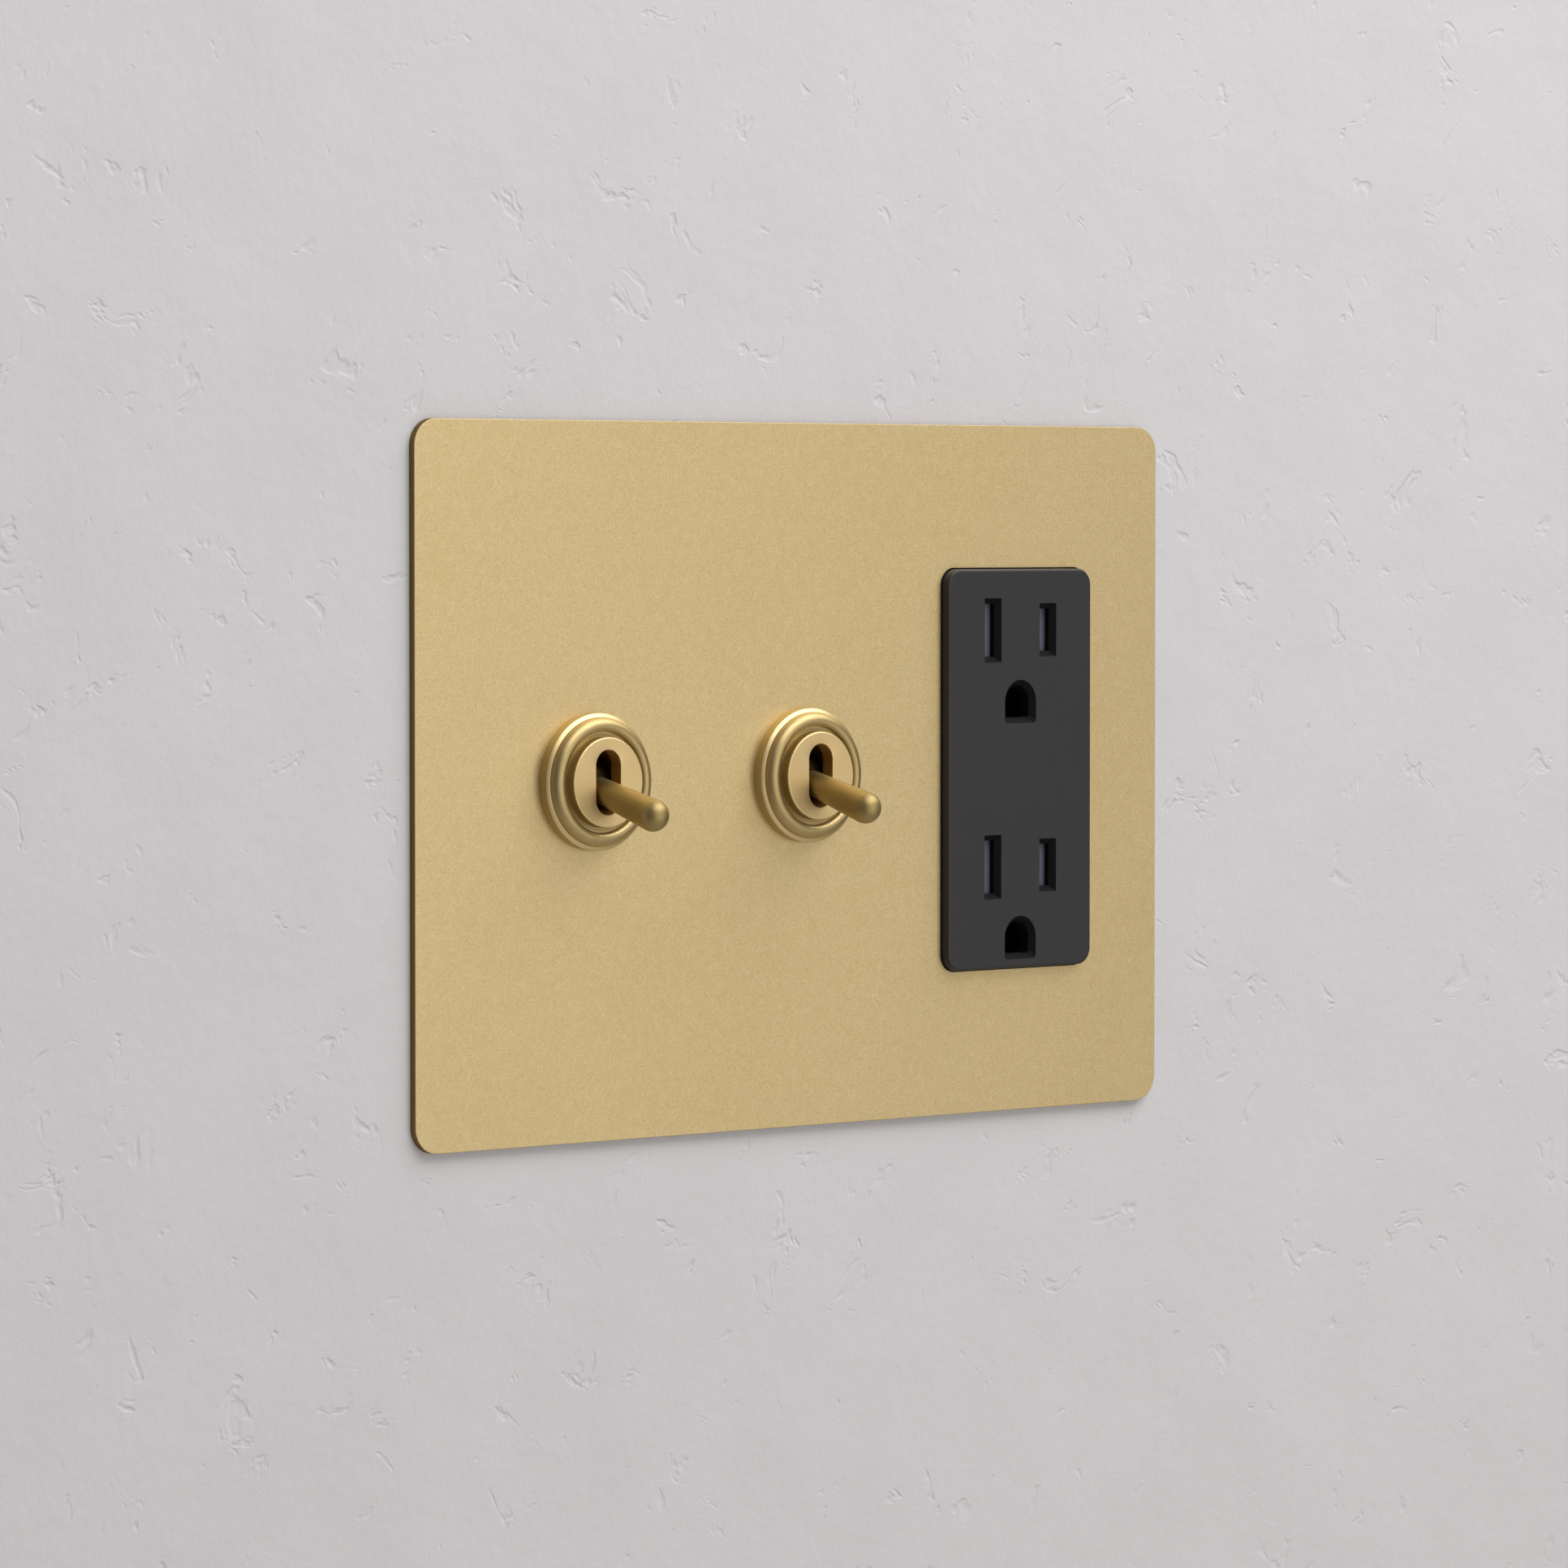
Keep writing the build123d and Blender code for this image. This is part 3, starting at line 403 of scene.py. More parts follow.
FINISHES: dict[Slot, Finish] = {
    Slot.SATIN_BRASS: RUBBED_SHEET_BRASS,
    Slot.TURNED_BRASS: PAINTED_LIGHT_BRASS,
    Slot.GREY_PLASTIC: MOULDED_CHARCOAL,
    Slot.BLACK_NYLON: MOULDED_NYLON,
    Slot.ZINC_STEEL: ZINC_PLATE,
    Slot.GROUND_STEEL: GROUND_PIN,
    Slot.SPRING_STEEL: DRAWN_WIRE,
    Slot.ACETAL: MOULDED_ACETAL,
    Slot.SHUTTER: MOULDED_SHUTTER,
    Slot.CONTACT_BRASS: BLANKED_STRIP,
    Slot.COPPER: PUNCHED_COPPER,
    Slot.BRASS_SCREW: TUMBLED_BRASS,
    Slot.NICKEL_SCREW: PLATED_NICKEL,
    Slot.GREEN_SCREW: GREEN_LACQUER,
}


# ---- modelling ----


def deselect() -> None:
    """Leaves edit mode and deselects everything."""
    if bpy.context.object and bpy.context.object.mode != "OBJECT":
        bpy.ops.object.mode_set(mode="OBJECT")
    bpy.ops.object.select_all(action="DESELECT")


def make_current(piece: bpy.types.Object) -> None:
    """Selects one piece alone and makes it active."""
    deselect()
    piece.select_set(True)
    bpy.context.view_layer.objects.active = piece


def pick(piece: bpy.types.Object, kind: str, test: Test) -> int:
    """Selects parts of the piece in edit mode.

    Args:
        piece: piece in edit mode.
        kind: verts, edges or faces.
        test: says yes to a part that is wanted.
    Returns:
        How many are selected.
    """
    bpy.ops.mesh.select_mode(type={"verts": "VERT", "edges": "EDGE", "faces": "FACE"}[kind])
    bpy.ops.mesh.select_all(action="DESELECT")
    shape = bmesh.from_edit_mesh(piece.data)
    count = 0
    for part in getattr(shape, kind):
        if test(part):
            part.select_set(True)
            count += 1
    shape.select_flush_mode()
    bmesh.update_edit_mesh(piece.data)
    return count


def edge_at_height(height: float, inside: Callable[[float, float], bool]) -> Test:
    """Test for edges that lie at a height.

    Args:
        height: height towards the room, in millimetres.
        inside: says yes to an edge whose middle is at x and z, in millimetres.
    Returns:
        The test.
    """
    def test(edge: Any) -> bool:
        """Says yes to an edge flat at the height and in the region, between two faces that turn."""
        a, b = edge.verts[0].co, edge.verts[1].co
        if abs(a.y + height * MM) > 1e-6 or abs(b.y + height * MM) > 1e-6 or len(edge.link_faces) != 2:
            return False
        if edge.link_faces[0].normal.angle(edge.link_faces[1].normal, 0.0) < 0.3:
            return False
        middle = (a + b) / 2 / MM
        return inside(middle.x, middle.z)
    return test


def rounded_block(name: str, centre: Pair, size: Pair, corner: float,
                  heights: Pair, per_corner: int = 12) -> bpy.types.Object:
    """Starts from a drum and pulls its quarters apart, which gives a block with round corners.

    Args:
        name: name of the piece.
        centre: x and z of the middle, in millimetres.
        size: width and height of the face, in millimetres.
        corner: corner radius, in millimetres.
        heights: back and front height, in millimetres.
        per_corner: edges in each round corner.
    Returns:
        The block.
    """
    deselect()
    back, front = heights
    sides = 4 * per_corner
    bpy.ops.mesh.primitive_cylinder_add(
        vertices=sides, radius=corner * MM, depth=(front - back) * MM,
        location=(centre[0] * MM, -(front + back) / 2 * MM, centre[1] * MM),
        rotation=(pi / 2, pi / sides, 0.0))
    block = bpy.context.object
    block.name = name
    bpy.ops.object.transform_apply(location=True, rotation=True, scale=True)
    bpy.ops.object.mode_set(mode="EDIT")
    out_x, out_z = size[0] / 2 - corner, size[1] / 2 - corner
    for way_x in (-1, 1):
        for way_z in (-1, 1):
            pick(block, "verts", lambda v: (v.co.x - centre[0] * MM) * way_x > 0
                 and (v.co.z - centre[1] * MM) * way_z > 0)
            bpy.ops.transform.translate(value=(out_x * way_x * MM, 0.0, out_z * way_z * MM))
    bpy.ops.object.mode_set(mode="OBJECT")
    return block


def turned(name: str, centre: Pair, profile: Profile, sides: int = 128) -> bpy.types.Object:
    """Pulls a ring through a profile, as on a lathe whose axis points to the room.

    Args:
        name: name of the piece.
        centre: x and z of the axis, in millimetres.
        profile: radius and height of each ring, in millimetres, in order.
        sides: edges round the piece.
    Returns:
        The turned piece.
    """
    deselect()
    radius, height = profile[0]
    x, z = centre[0] * MM, centre[1] * MM
    bpy.ops.mesh.primitive_circle_add(vertices=sides, radius=radius * MM, location=(x, -height * MM, z),
                                      rotation=(pi / 2, 0.0, 0.0))
    piece = bpy.context.object
    piece.name = name
    bpy.ops.object.transform_apply(location=True, rotation=True, scale=True)
    bpy.ops.object.mode_set(mode="EDIT")
    bpy.ops.mesh.select_mode(type="VERT")
    bpy.ops.mesh.select_all(action="SELECT")
    for next_radius, next_height in profile[1:]:
        bpy.ops.mesh.extrude_region_move(
            TRANSFORM_OT_translate={"value": (0.0, -(next_height - height) * MM, 0.0)})
        scale = next_radius / radius
        bpy.ops.transform.resize(value=(scale, 1.0, scale), center_override=(x, -next_height * MM, z))
        radius, height = next_radius, next_height
    bpy.ops.mesh.select_all(action="SELECT")
    bpy.ops.mesh.remove_doubles(threshold=1e-6)
    bpy.ops.mesh.normals_make_consistent(inside=False)
    bpy.ops.object.mode_set(mode="OBJECT")
    return piece


def arc(centre: Pair, radius: float, start: float, end: float, steps: int) -> Profile:
    """Points of an arc in a lathe profile.

    Args:
        centre: radius and height of the arc's centre, in millimetres.
        radius: radius of the arc, in millimetres.
        start: first angle in degrees, from straight outward towards the room.
        end: last angle in degrees.
        steps: how many steps to take.
    Returns:
        The points, both ends included.
    """
    angles = [radians(start + (end - start) * i / steps) for i in range(steps + 1)]
    return [(centre[0] + radius * cos(a), centre[1] + radius * sin(a)) for a in angles]


def through_three(first: Pair, middle: Pair, last: Pair,
                  steps: int) -> Profile:
    """Points of the arc through three points of a lathe profile, without the first point.

    Args:
        first: where the arc starts.
        middle: a point that it passes.
        last: where it ends.
        steps: how many steps to take.
    Returns:
        The points after the first.
    """
    (ax, ay), (bx, by), (cx, cy) = first, middle, last
    d = 2 * (ax * (by - cy) + bx * (cy - ay) + cx * (ay - by))
    a2, b2, c2 = ax * ax + ay * ay, bx * bx + by * by, cx * cx + cy * cy
    ux = (a2 * (by - cy) + b2 * (cy - ay) + c2 * (ay - by)) / d
    uy = (a2 * (cx - bx) + b2 * (ax - cx) + c2 * (bx - ax)) / d
    hub = Vector((ux, uy))
    start, end = Vector(first) - hub, Vector(last) - hub
    sweep = start.angle_signed(end)
    points = []
    for i in range(1, steps + 1):
        a = -sweep * i / steps
        points.append((ux + start.x * cos(a) - start.y * sin(a), uy + start.x * sin(a) + start.y * cos(a)))
    return points


def combine(piece: bpy.types.Object, tool: bpy.types.Object, how: str = "DIFFERENCE") -> None:
    """Cuts a tool out of the piece, or adds it, and removes the tool.

    Args:
        piece: piece that is changed.
        tool: closed shape that is used up.
        how: DIFFERENCE or UNION.
    """
    make_current(piece)
    cut = piece.modifiers.new("shape", "BOOLEAN")
    cut.operation, cut.object, cut.solver = how, tool, "EXACT"
    bpy.ops.object.modifier_apply(modifier=cut.name)
    bpy.data.objects.remove(tool, do_unlink=True)


def break_edges(piece: bpy.types.Object, test: Test, width: float, steps: int) -> None:
    """Bevels chosen edges.

    Args:
        piece: piece to work on.
        test: says yes to an edge that is wanted.
        width: width of the bevel, in millimetres.
        steps: segments of the bevel; one gives a flat chamfer.
    """
    make_current(piece)
    bpy.ops.object.mode_set(mode="EDIT")
    if pick(piece, "edges", test):
        bpy.ops.mesh.bevel(offset=width * MM, segments=steps, profile=0.5, affect="EDGES",
                           clamp_overlap=True)
    bpy.ops.object.mode_set(mode="OBJECT")


def finish_piece(piece: bpy.types.Object, dresser: "Dresser", slot: Slot, body: str, *nodes: str,
                 angle: float = 32.0) -> bpy.types.Object:
    """Smooths, dresses and hangs a finished piece on its body.

    Args:
        piece: the finished piece.
        dresser: keeper of the materials.
        slot: material slot of the piece.
        body: body that carries it.
        nodes: CAD nodes that it stands for.
        angle: edges that turn by more than this many degrees stay sharp.
    Returns:
        The piece.
    """
    make_current(piece)
    bpy.ops.object.mode_set(mode="EDIT")
    bpy.ops.mesh.select_all(action="SELECT")
    bpy.ops.mesh.remove_doubles(threshold=1e-6)
    bpy.ops.mesh.normals_make_consistent(inside=False)
    bpy.ops.object.mode_set(mode="OBJECT")
    bpy.ops.object.shade_smooth_by_angle(angle=radians(angle))
    even = piece.modifiers.new("even_normals", "WEIGHTED_NORMAL")
    even.keep_sharp, even.weight = True, 80
    bpy.ops.object.modifier_apply(modifier=even.name)
    piece.data.materials.clear()
    piece.data.materials.append(dresser.material(slot))
    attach(piece, body)
    if nodes:
        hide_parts(*nodes)
    log.info("%s: %d faces on %s", piece.name, len(piece.data.polygons), body)
    return piece


def is_upright(face: Any) -> bool:
    """Says whether a face looks sideways, as the wall of a hole or an outer edge does.

    Args:
        face: face of a mesh.
    Returns:
        True for such a face.
    """
    return abs(face.normal.y) < 0.3


def off_axis(face: Any, x: float) -> float:
    """Distance of a face's middle from a toggle's axis, seen from the room.

    Args:
        face: face of a mesh.
        x: place of the axis across the plate, in millimetres.
    Returns:
        The distance, in millimetres.
    """
    return Vector((face.center.x / MM - x, face.center.z / MM)).length


def repaint(piece: bpy.types.Object, finish: Finish, dresser: "Dresser", test: Test) -> None:
    """Gives some faces of a finished piece a second finish.

    Args:
        piece: the finished piece.
        finish: finish of the chosen faces.
        dresser: keeper of the materials.
        test: says yes to a face that gets it.
    """
    piece.data.materials.append(dresser.extra(finish))
    last = len(piece.data.materials) - 1
    chosen = [face for face in piece.data.polygons if test(face)]
    for face in chosen:
        face.material_index = last
    log.info("%s: %d faces in %s", piece.name, len(chosen), finish.name)


@dataclass
class Dresser:
    """Keeps one material for each slot and puts it on the CAD nodes that stay.

    Attributes:
        made: materials by slot.
        extras: further materials by name.
    """

    made: dict[Slot, bpy.types.Material] = field(default_factory=dict)
    extras: dict[str, bpy.types.Material] = field(default_factory=dict)

    def extra(self, finish: Finish) -> bpy.types.Material:
        """Gives the material of a finish that belongs to no slot of its own.

        Args:
            finish: the finish.
        Returns:
            Its material, made on first use.
        """
        if finish.name not in self.extras:
            self.extras[finish.name] = finish.build()
        return self.extras[finish.name]

    def material(self, slot: Slot) -> bpy.types.Material:
        """Gives the material of a slot.

        Args:
            slot: the slot.
        Returns:
            Its material, made on first use.
        """
        if slot not in self.made:
            self.made[slot] = FINISHES[slot].build()
        return self.made[slot]

    def dress_nodes(self) -> None:
        """Puts the right material on every CAD node."""
        slots = {s["node"]: Slot(s["material_slot"]) for s in frame["record"]["subparts"]}
        for name, obj in frame["nodes"].items():
            material = self.material(slots[name])
            obj.data.materials.clear()
            obj.data.materials.append(material)
        log.info("dressed %d nodes", len(slots))


# ---- the object ----


@dataclass
class PlateAssembly:
    """The brass plate that covers all three gangs.

    Attributes:
        width: width of the plate, in millimetres.
        height: height of the plate.
        corner: corner radius.
        rim: width of the rim that meets the wall.
        relief: depth of the hollow behind the rim.
        edge: chamfer of the front edge.
        hole: radius of the two toggle holes.
        window: width and height of the socket window.
        window_corner: corner radius of the window.
        hollow_corner: corner radius of the hollow behind the rim.
        through: heights between which the cutting tools pass the plate.
    """

    width: float = 162.0
    height: float = 114.3
    corner: float = 4.3
    rim: float = 4.6
    relief: float = 0.3
    edge: float = 0.15
    hole: float = 7.6
    window: Pair = (33.6, 67.1)
    window_corner: float = 3.0
    hollow_corner: float = 2.0
    through: Pair = (1.0, 6.0)

    def build(self, dresser: Dresser) -> None:
        """Makes the plate and hangs it on the root body."""
        plate = rounded_block("brass_front_plate", (0.0, 0.0), (self.width, self.height), self.corner,
                              (WALL_FACE, PLATE_FRONT), per_corner=20)
        break_edges(plate, edge_at_height(PLATE_FRONT, lambda x, z: True), self.edge, 2)
        inner = (self.width - 2 * self.rim, self.height - 2 * self.rim)
        hollow = rounded_block("hollow", (0.0, 0.0), inner, self.hollow_corner,
                               (WALL_FACE - 1.0, WALL_FACE + self.relief))
        combine(plate, hollow)
        low, high = self.through
        for x in (DEVICE_X["left"], DEVICE_X["middle"]):
            outline: Profile = [(0.01, low), (self.hole, low), (self.hole, high), (0.01, high)]
            combine(plate, turned("hole_tool", (x, 0.0), outline))
        window = rounded_block("window_tool", (DEVICE_X["outlet"], 0.0), self.window,
                               self.window_corner, self.through)
        combine(plate, window)
        finish_piece(plate, dresser, Slot.SATIN_BRASS, "root", "front_plate")
        # painted shade: the plate's sideways faces get a darker brass
        repaint(plate, PAINTED_SHADE_EDGE_BRASS, dresser, is_upright)


@dataclass
class ToggleSwitch:
    """One toggle: domed ring, slotted bush and lever.

    Attributes:
        side: left or middle.
        x: place of the axis across the plate, in millimetres.
        lean: how far the lever hangs down at rest, in degrees.
        ring_radius: outer radius of the ring.
        ring_bore: radius of the hole through the ring.
        land: height of the ring's inner land above the plate.
        head_radius: radius of the slotted disc.
        head_depth: thickness of the slotted disc.
        bore: radius of the bush's bore.
        slot: width and height of the slot in the disc.
        lever_root: radius of the lever where it leaves the hub.
        ball: radius of the lever's round tip.
        reach: distance from the pivot to the ball's centre.
    """

    side: str
    x: float
    lean: float = 16.0
    ring_radius: float = 10.9
    ring_bore: float = 7.55
    land: float = 2.4
    head_radius: float = 7.2
    head_depth: float = 2.4
    bore: float = 5.4
    slot: Pair = (5.1, 10.3)
    lever_root: float = 2.0
    ball: float = 2.575
    reach: float = 17.66

    def ring(self, dresser: Dresser) -> None:
        """Makes the ring: straight wall, chamfer with a painted highlight, dome and inner lip."""
        r, p = self.ring_radius, PLATE_FRONT
        inside, land = self.ring_bore, p + self.land
        foot, chamfer = (r - 0.03, p + 1.7), (r - 0.60, p + 2.02)
        shoulder, crest = (r - 0.97, p + 2.98), (r - 1.9, p + 3.5)
        lip = (r - 2.8, p + 3.1)
        profile: Profile = [(inside, p), (r, p), (r, p + 1.66), foot, chamfer]
        profile += through_three(chamfer, shoulder, crest, 16)
        profile += through_three(crest, (r - 2.45, p + 3.4), lip, 8)
        profile += [(r - 2.82, p + 3.0), (r - 2.8, land), (inside, land), (inside, p)]
        ring = turned(f"{self.side}_domed_ring", (self.x, 0.0), profile)
        finish_piece(ring, dresser, Slot.TURNED_BRASS, "root", f"{self.side}_ring_nut", angle=24.0)
        # painted shade: the ring takes a darker copy of the turned brass
        ring.data.materials[0] = dresser.extra(PAINTED_SHADE_RING_BRASS)
        middle = (foot[1] + chamfer[1]) / 2
        # painted highlight: the chamfer's faces get a paler brass
        repaint(ring, PAINTED_HIGHLIGHT_BRASS, dresser, lambda f: abs(f.center.y / MM + middle) < 0.1)

    def bush(self, dresser: Dresser) -> None:
        """Makes the bush: flat disc with its slot in front, bore and neck behind."""
        r, front = self.head_radius, HEAD_FRONT
        rear, neck, thread, flange = -5.2, 7.0, 7.5, 10.5
        land, inside = PLATE_FRONT + self.land, front - self.head_depth
        profile: Profile = [(self.bore, rear), (neck, rear), (neck, 1.2), (flange, 1.2), (flange, 2.8),
                            (thread, 2.8), (thread, land), (r, land), (r, front - 0.25),
                            (r - 0.08, front - 0.08), (r - 0.25, front), (0.001, front),
                            (0.001, inside), (self.bore, inside), (self.bore, rear)]
        bush = turned(f"{self.side}_slotted_bush", (self.x, 0.0), profile)
        slot = rounded_block("slot_tool", (self.x, 0.0), self.slot, self.slot[0] / 2 - 0.001,
                             (front - 4.0, front + 1.0), per_corner=16)
        combine(bush, slot)
        slot_reach = 6.0
        break_edges(bush, edge_at_height(front, lambda x, z: (x - self.x) ** 2 + z * z < slot_reach ** 2),
                    0.2, 2)
        combine(bush, self.cross_drill(1.0, 12.0))
        # painted light: the disc's face keeps the paler turned brass of its slot
        finish_piece(bush, dresser, Slot.TURNED_BRASS, "root", f"{self.side}_toggle_bush", angle=24.0)
        # painted light: the slot's walls get a bright saturated gold
        repaint(bush, PAINTED_LIGHT_SLOT_BRASS, dresser,
                lambda f: is_upright(f) and off_axis(f, self.x) < self.bore + 0.2)
        # painted shade: the outer side of the disc takes the ring's darker brass
        repaint(bush, PAINTED_SHADE_RING_BRASS, dresser, lambda f: off_axis(f, self.x) > r - 0.1)

    def cross_drill(self, radius: float, half: float) -> bpy.types.Object:
        """Makes a rod along X through the pivot, to cut the pin's hole.

        Args:
            radius: radius of the hole, in millimetres.
            half: half its length.
        Returns:
            The rod.
        """
        deselect()
        bpy.ops.mesh.primitive_cylinder_add(
            vertices=48, radius=radius * MM, depth=2 * half * MM,
            location=(self.x * MM, -PIVOT * MM, 0.0), rotation=(0.0, pi / 2, 0.0))
        rod = bpy.context.object
        bpy.ops.object.transform_apply(location=True, rotation=True, scale=True)
        return rod

    def lever(self, dresser: Dresser) -> None:
        """Makes the lever with its hub and tail, then leans it down to its rest."""
        hub, tail, root = 4.4, 2.5, self.lever_root
        hub_tail = (hub * hub - tail * tail) ** 0.5
        hub_neck = (hub * hub - root * root) ** 0.5
        well, floor, end = 1.55, -4.4, -11.0  # the plunger's blind hole and the tail's end
        profile: Profile = [(0.001, floor), (well, floor), (well, end), (tail - 0.2, end),
                            (tail, end + 0.2), (tail, -hub_tail)]
        profile += through_three((tail, -hub_tail), (hub, 0.0), (root, hub_neck), 20)
        profile += [(root + (self.ball - root) * i / 4, hub_neck + (self.reach - hub_neck) * i / 4)
                    for i in range(1, 4)]
        profile += arc((0.0, self.reach), self.ball, 0.0, 88.0, 22)
        profile += [(0.001, self.reach + self.ball)]
        profile = [(radius, height + PIVOT) for radius, height in profile]
        lever = turned(f"{self.side}_lever", (self.x, 0.0), profile, sides=96)
        make_current(lever)
        bpy.ops.object.mode_set(mode="EDIT")
        bpy.ops.mesh.select_all(action="SELECT")
        bpy.ops.transform.rotate(value=-radians(self.lean), orient_axis="X",
                                 center_override=(self.x * MM, -PIVOT * MM, 0.0))
        bpy.ops.object.mode_set(mode="OBJECT")
        combine(lever, self.cross_drill(1.05, 6.0))
        finish_piece(lever, dresser, Slot.TURNED_BRASS, f"{self.side}_toggle", f"{self.side}_toggle",
                     angle=30.0)
        # painted shade: the lever takes a darker, browner copy of the turned brass
        lever.data.materials[0] = dresser.extra(PAINTED_SHADE_LEVER_BRASS)
        pivot = Vector((self.x, -PIVOT, 0.0)) * MM
        # painted shade: the hub and everything behind the pivot get dark brown
        repaint(lever, PAINTED_SHADE_HUB_BRASS, dresser,
                lambda f: (f.center - pivot).length < (hub + 0.1) * MM or f.center.y > pivot.y)

    def build(self, dresser: Dresser) -> None:
        """Makes the three pieces of the toggle that show."""
        self.ring(dresser)
        self.bush(dresser)
        self.lever(dresser)


@dataclass
class SocketOutlet:
    """The face of the twin socket.

    Attributes:
        x: place of the outlet across the plate, in millimetres.
        face: width and height of the face.
        corner: its corner radius.
        back: height of the face's rear edge.
        skin: thickness behind the front surface.
        rows: heights of the two blade rows.
        pitch: spacing of the two blade slots.
        drop: distance from a blade row down to its earth hole.
        mouth: chamfer round each opening.
        neutral: width and height of a neutral slot.
        hot: width and height of a hot slot.
        earth: width of an earth hole.
        flange: width and height of the flange behind the plate.
        post: place of the screw posts, from the middle.
        well: distance from an earth hole's middle, and width and height, of a wall beside it.
        web: thickness of the face at the blade slots.
        bar: width and height of a shutter.
        travel: how far a shutter slides.
    """

    x: float = DEVICE_X["outlet"]
    face: Pair = (33.1, 66.6)
    corner: float = 2.8
    back: float = -9.0
    skin: float = 3.0
    rows: Pair = (23.1, -16.3)
    pitch: float = 12.7
    drop: float = 11.9
    mouth: float = 0.9
    neutral: Pair = (2.1, 8.9)
    hot: Pair = (2.1, 7.1)
    earth: float = 5.4
    flange: Pair = (37.0, 76.0)
    post: Pair = (13.6, 30.2)
    well: Point = (3.4, 0.8, 7.0)
    web: float = 1.7
    bar: Pair = (20.0, 11.0)
    travel: float = 2.8

    def flared(self, tool: bpy.types.Object, size: Pair, centre: Pair) -> None:
        """Widens a cutting tool at its front, which gives the opening its chamfer.

        Args:
            tool: tool that ends at the foot of the chamfer.
            size: width and height of the opening, in millimetres.
            centre: x and z of the opening.
        """
        make_current(tool)
        foot = OUTLET_FRONT - self.mouth
        bpy.ops.object.mode_set(mode="EDIT")
        pick(tool, "faces", lambda f: f.normal.y < -0.9)
        rise = 2 * self.mouth
        bpy.ops.mesh.extrude_region_move(TRANSFORM_OT_translate={"value": (0.0, -rise * MM, 0.0)})
        bpy.ops.transform.resize(
            value=((size[0] + 2 * rise) / size[0], 1.0, (size[1] + 2 * rise) / size[1]),
            center_override=(centre[0] * MM, -(foot + rise) * MM, centre[1] * MM))
        bpy.ops.object.mode_set(mode="OBJECT")

    def slot_tool(self, centre: Pair, size: Pair) -> bpy.types.Object:
        """Makes the tool for a blade slot."""
        foot = OUTLET_FRONT - self.mouth
        tool = rounded_block("slot_tool", centre, size, 0.12, (foot - 4.0, foot), per_corner=3)
        self.flared(tool, size, centre)
        return tool

    def arch_tool(self, centre: Pair, width: float) -> bpy.types.Object:
        """Makes the tool for an earth hole: round above, square below."""
        foot = OUTLET_FRONT - self.mouth
        tool = rounded_block("arch_tool", centre, (width, width), width / 2 - 0.001,
                             (foot - 4.0, foot), per_corner=12)
        make_current(tool)
        bpy.ops.object.mode_set(mode="EDIT")
        floor = (centre[1] - width / 2) * MM
        for way in (-1, 1):
            pick(tool, "verts", lambda v: (v.co.x - centre[0] * MM) * way > 0 and v.co.z < centre[1] * MM)
            shape = bmesh.from_edit_mesh(tool.data)
            for v in shape.verts:
                if v.select:
                    reach = (v.co.x - centre[0] * MM) * way / (width / 2 * MM)
                    drop = (centre[1] * MM - v.co.z) / (width / 2 * MM)
                    longer = max(reach, drop)
                    v.co.x = centre[0] * MM + way * reach / longer * width / 2 * MM
                    v.co.z = centre[1] * MM - drop / longer * width / 2 * MM
                    v.co.z = max(v.co.z, floor)
            bmesh.update_edit_mesh(tool.data)
        bpy.ops.object.mode_set(mode="OBJECT")
        self.flared(tool, (width, width), centre)
        return tool

    def build(self, dresser: Dresser) -> None:
        """Makes the moulded face and hangs it on the root body."""
        face = rounded_block("socket_face", (self.x, 0.0), self.face, self.corner,
                             (self.back, OUTLET_FRONT), per_corner=14)
        break_edges(face, edge_at_height(OUTLET_FRONT, lambda x, z: True), 0.5, 4)
        combine(face, rounded_block("flange", (self.x, 0.0), self.flange, 3.0, (-2.0, 0.0)), "UNION")
        side = 2.0  # thickness of the side walls
        inner = (self.face[0] - 2 * side, self.face[1] - 2 * side)
        cavity = rounded_block("cavity", (self.x, 0.0), inner, 1.0,
                               (self.back - 1.0, OUTLET_FRONT - self.skin), per_corner=5)
        combine(face, cavity)
        for row in self.rows:
            combine(face, self.slot_tool((self.x - self.pitch / 2, row), self.neutral))
            combine(face, self.slot_tool((self.x + self.pitch / 2, row), self.hot))
            combine(face, self.arch_tool((self.x, row - self.drop), self.earth))
            for way in (-1, 1):
                place = (self.x + way * self.well[0], row - self.drop)
                wall = rounded_block("well_wall", place, self.well[1:], 0.1,
                                     (self.back, OUTLET_FRONT - self.skin + 0.5), per_corner=3)
                combine(face, wall, "UNION")
            room = (self.bar[0] + self.travel + 0.4, self.bar[1] + 0.4)
            pocket = rounded_block("pocket_tool", (self.x - 0.1, row), room, 0.3,
                                   (OUTLET_FRONT - self.skin - 0.5, OUTLET_FRONT - self.web), per_corner=3)
            combine(face, pocket)
        hole, outer, top = 1.15, 2.2, 2.6
        outline: Profile = [(hole, self.back), (outer, self.back), (outer, top), (hole, top),
                            (hole, self.back)]
        for way_x in (-1, 1):
            for way_z in (-1, 1):
                place = (self.x + self.post[0] * way_x, self.post[1] * way_z)
                combine(face, turned("post", place, outline, 32), "UNION")
        finish_piece(face, dresser, Slot.GREY_PLASTIC, "root", "outlet_face", angle=28.0)
        half_x, half_z = inner[0] / 2, self.face[1] / 2 - 1.0
        # painted shade: the walls and chamfers of the openings, and the faces inside, get a darker
        # charcoal
        repaint(face, PAINTED_SHADE_CHARCOAL, dresser, lambda f: f.normal.y > -0.95
                and abs(f.center.x / MM - self.x) < half_x and abs(f.center.z / MM) < half_z)
        for name, row in zip(("upper", "lower"), self.rows):
            self.shutter(dresser, name, row)

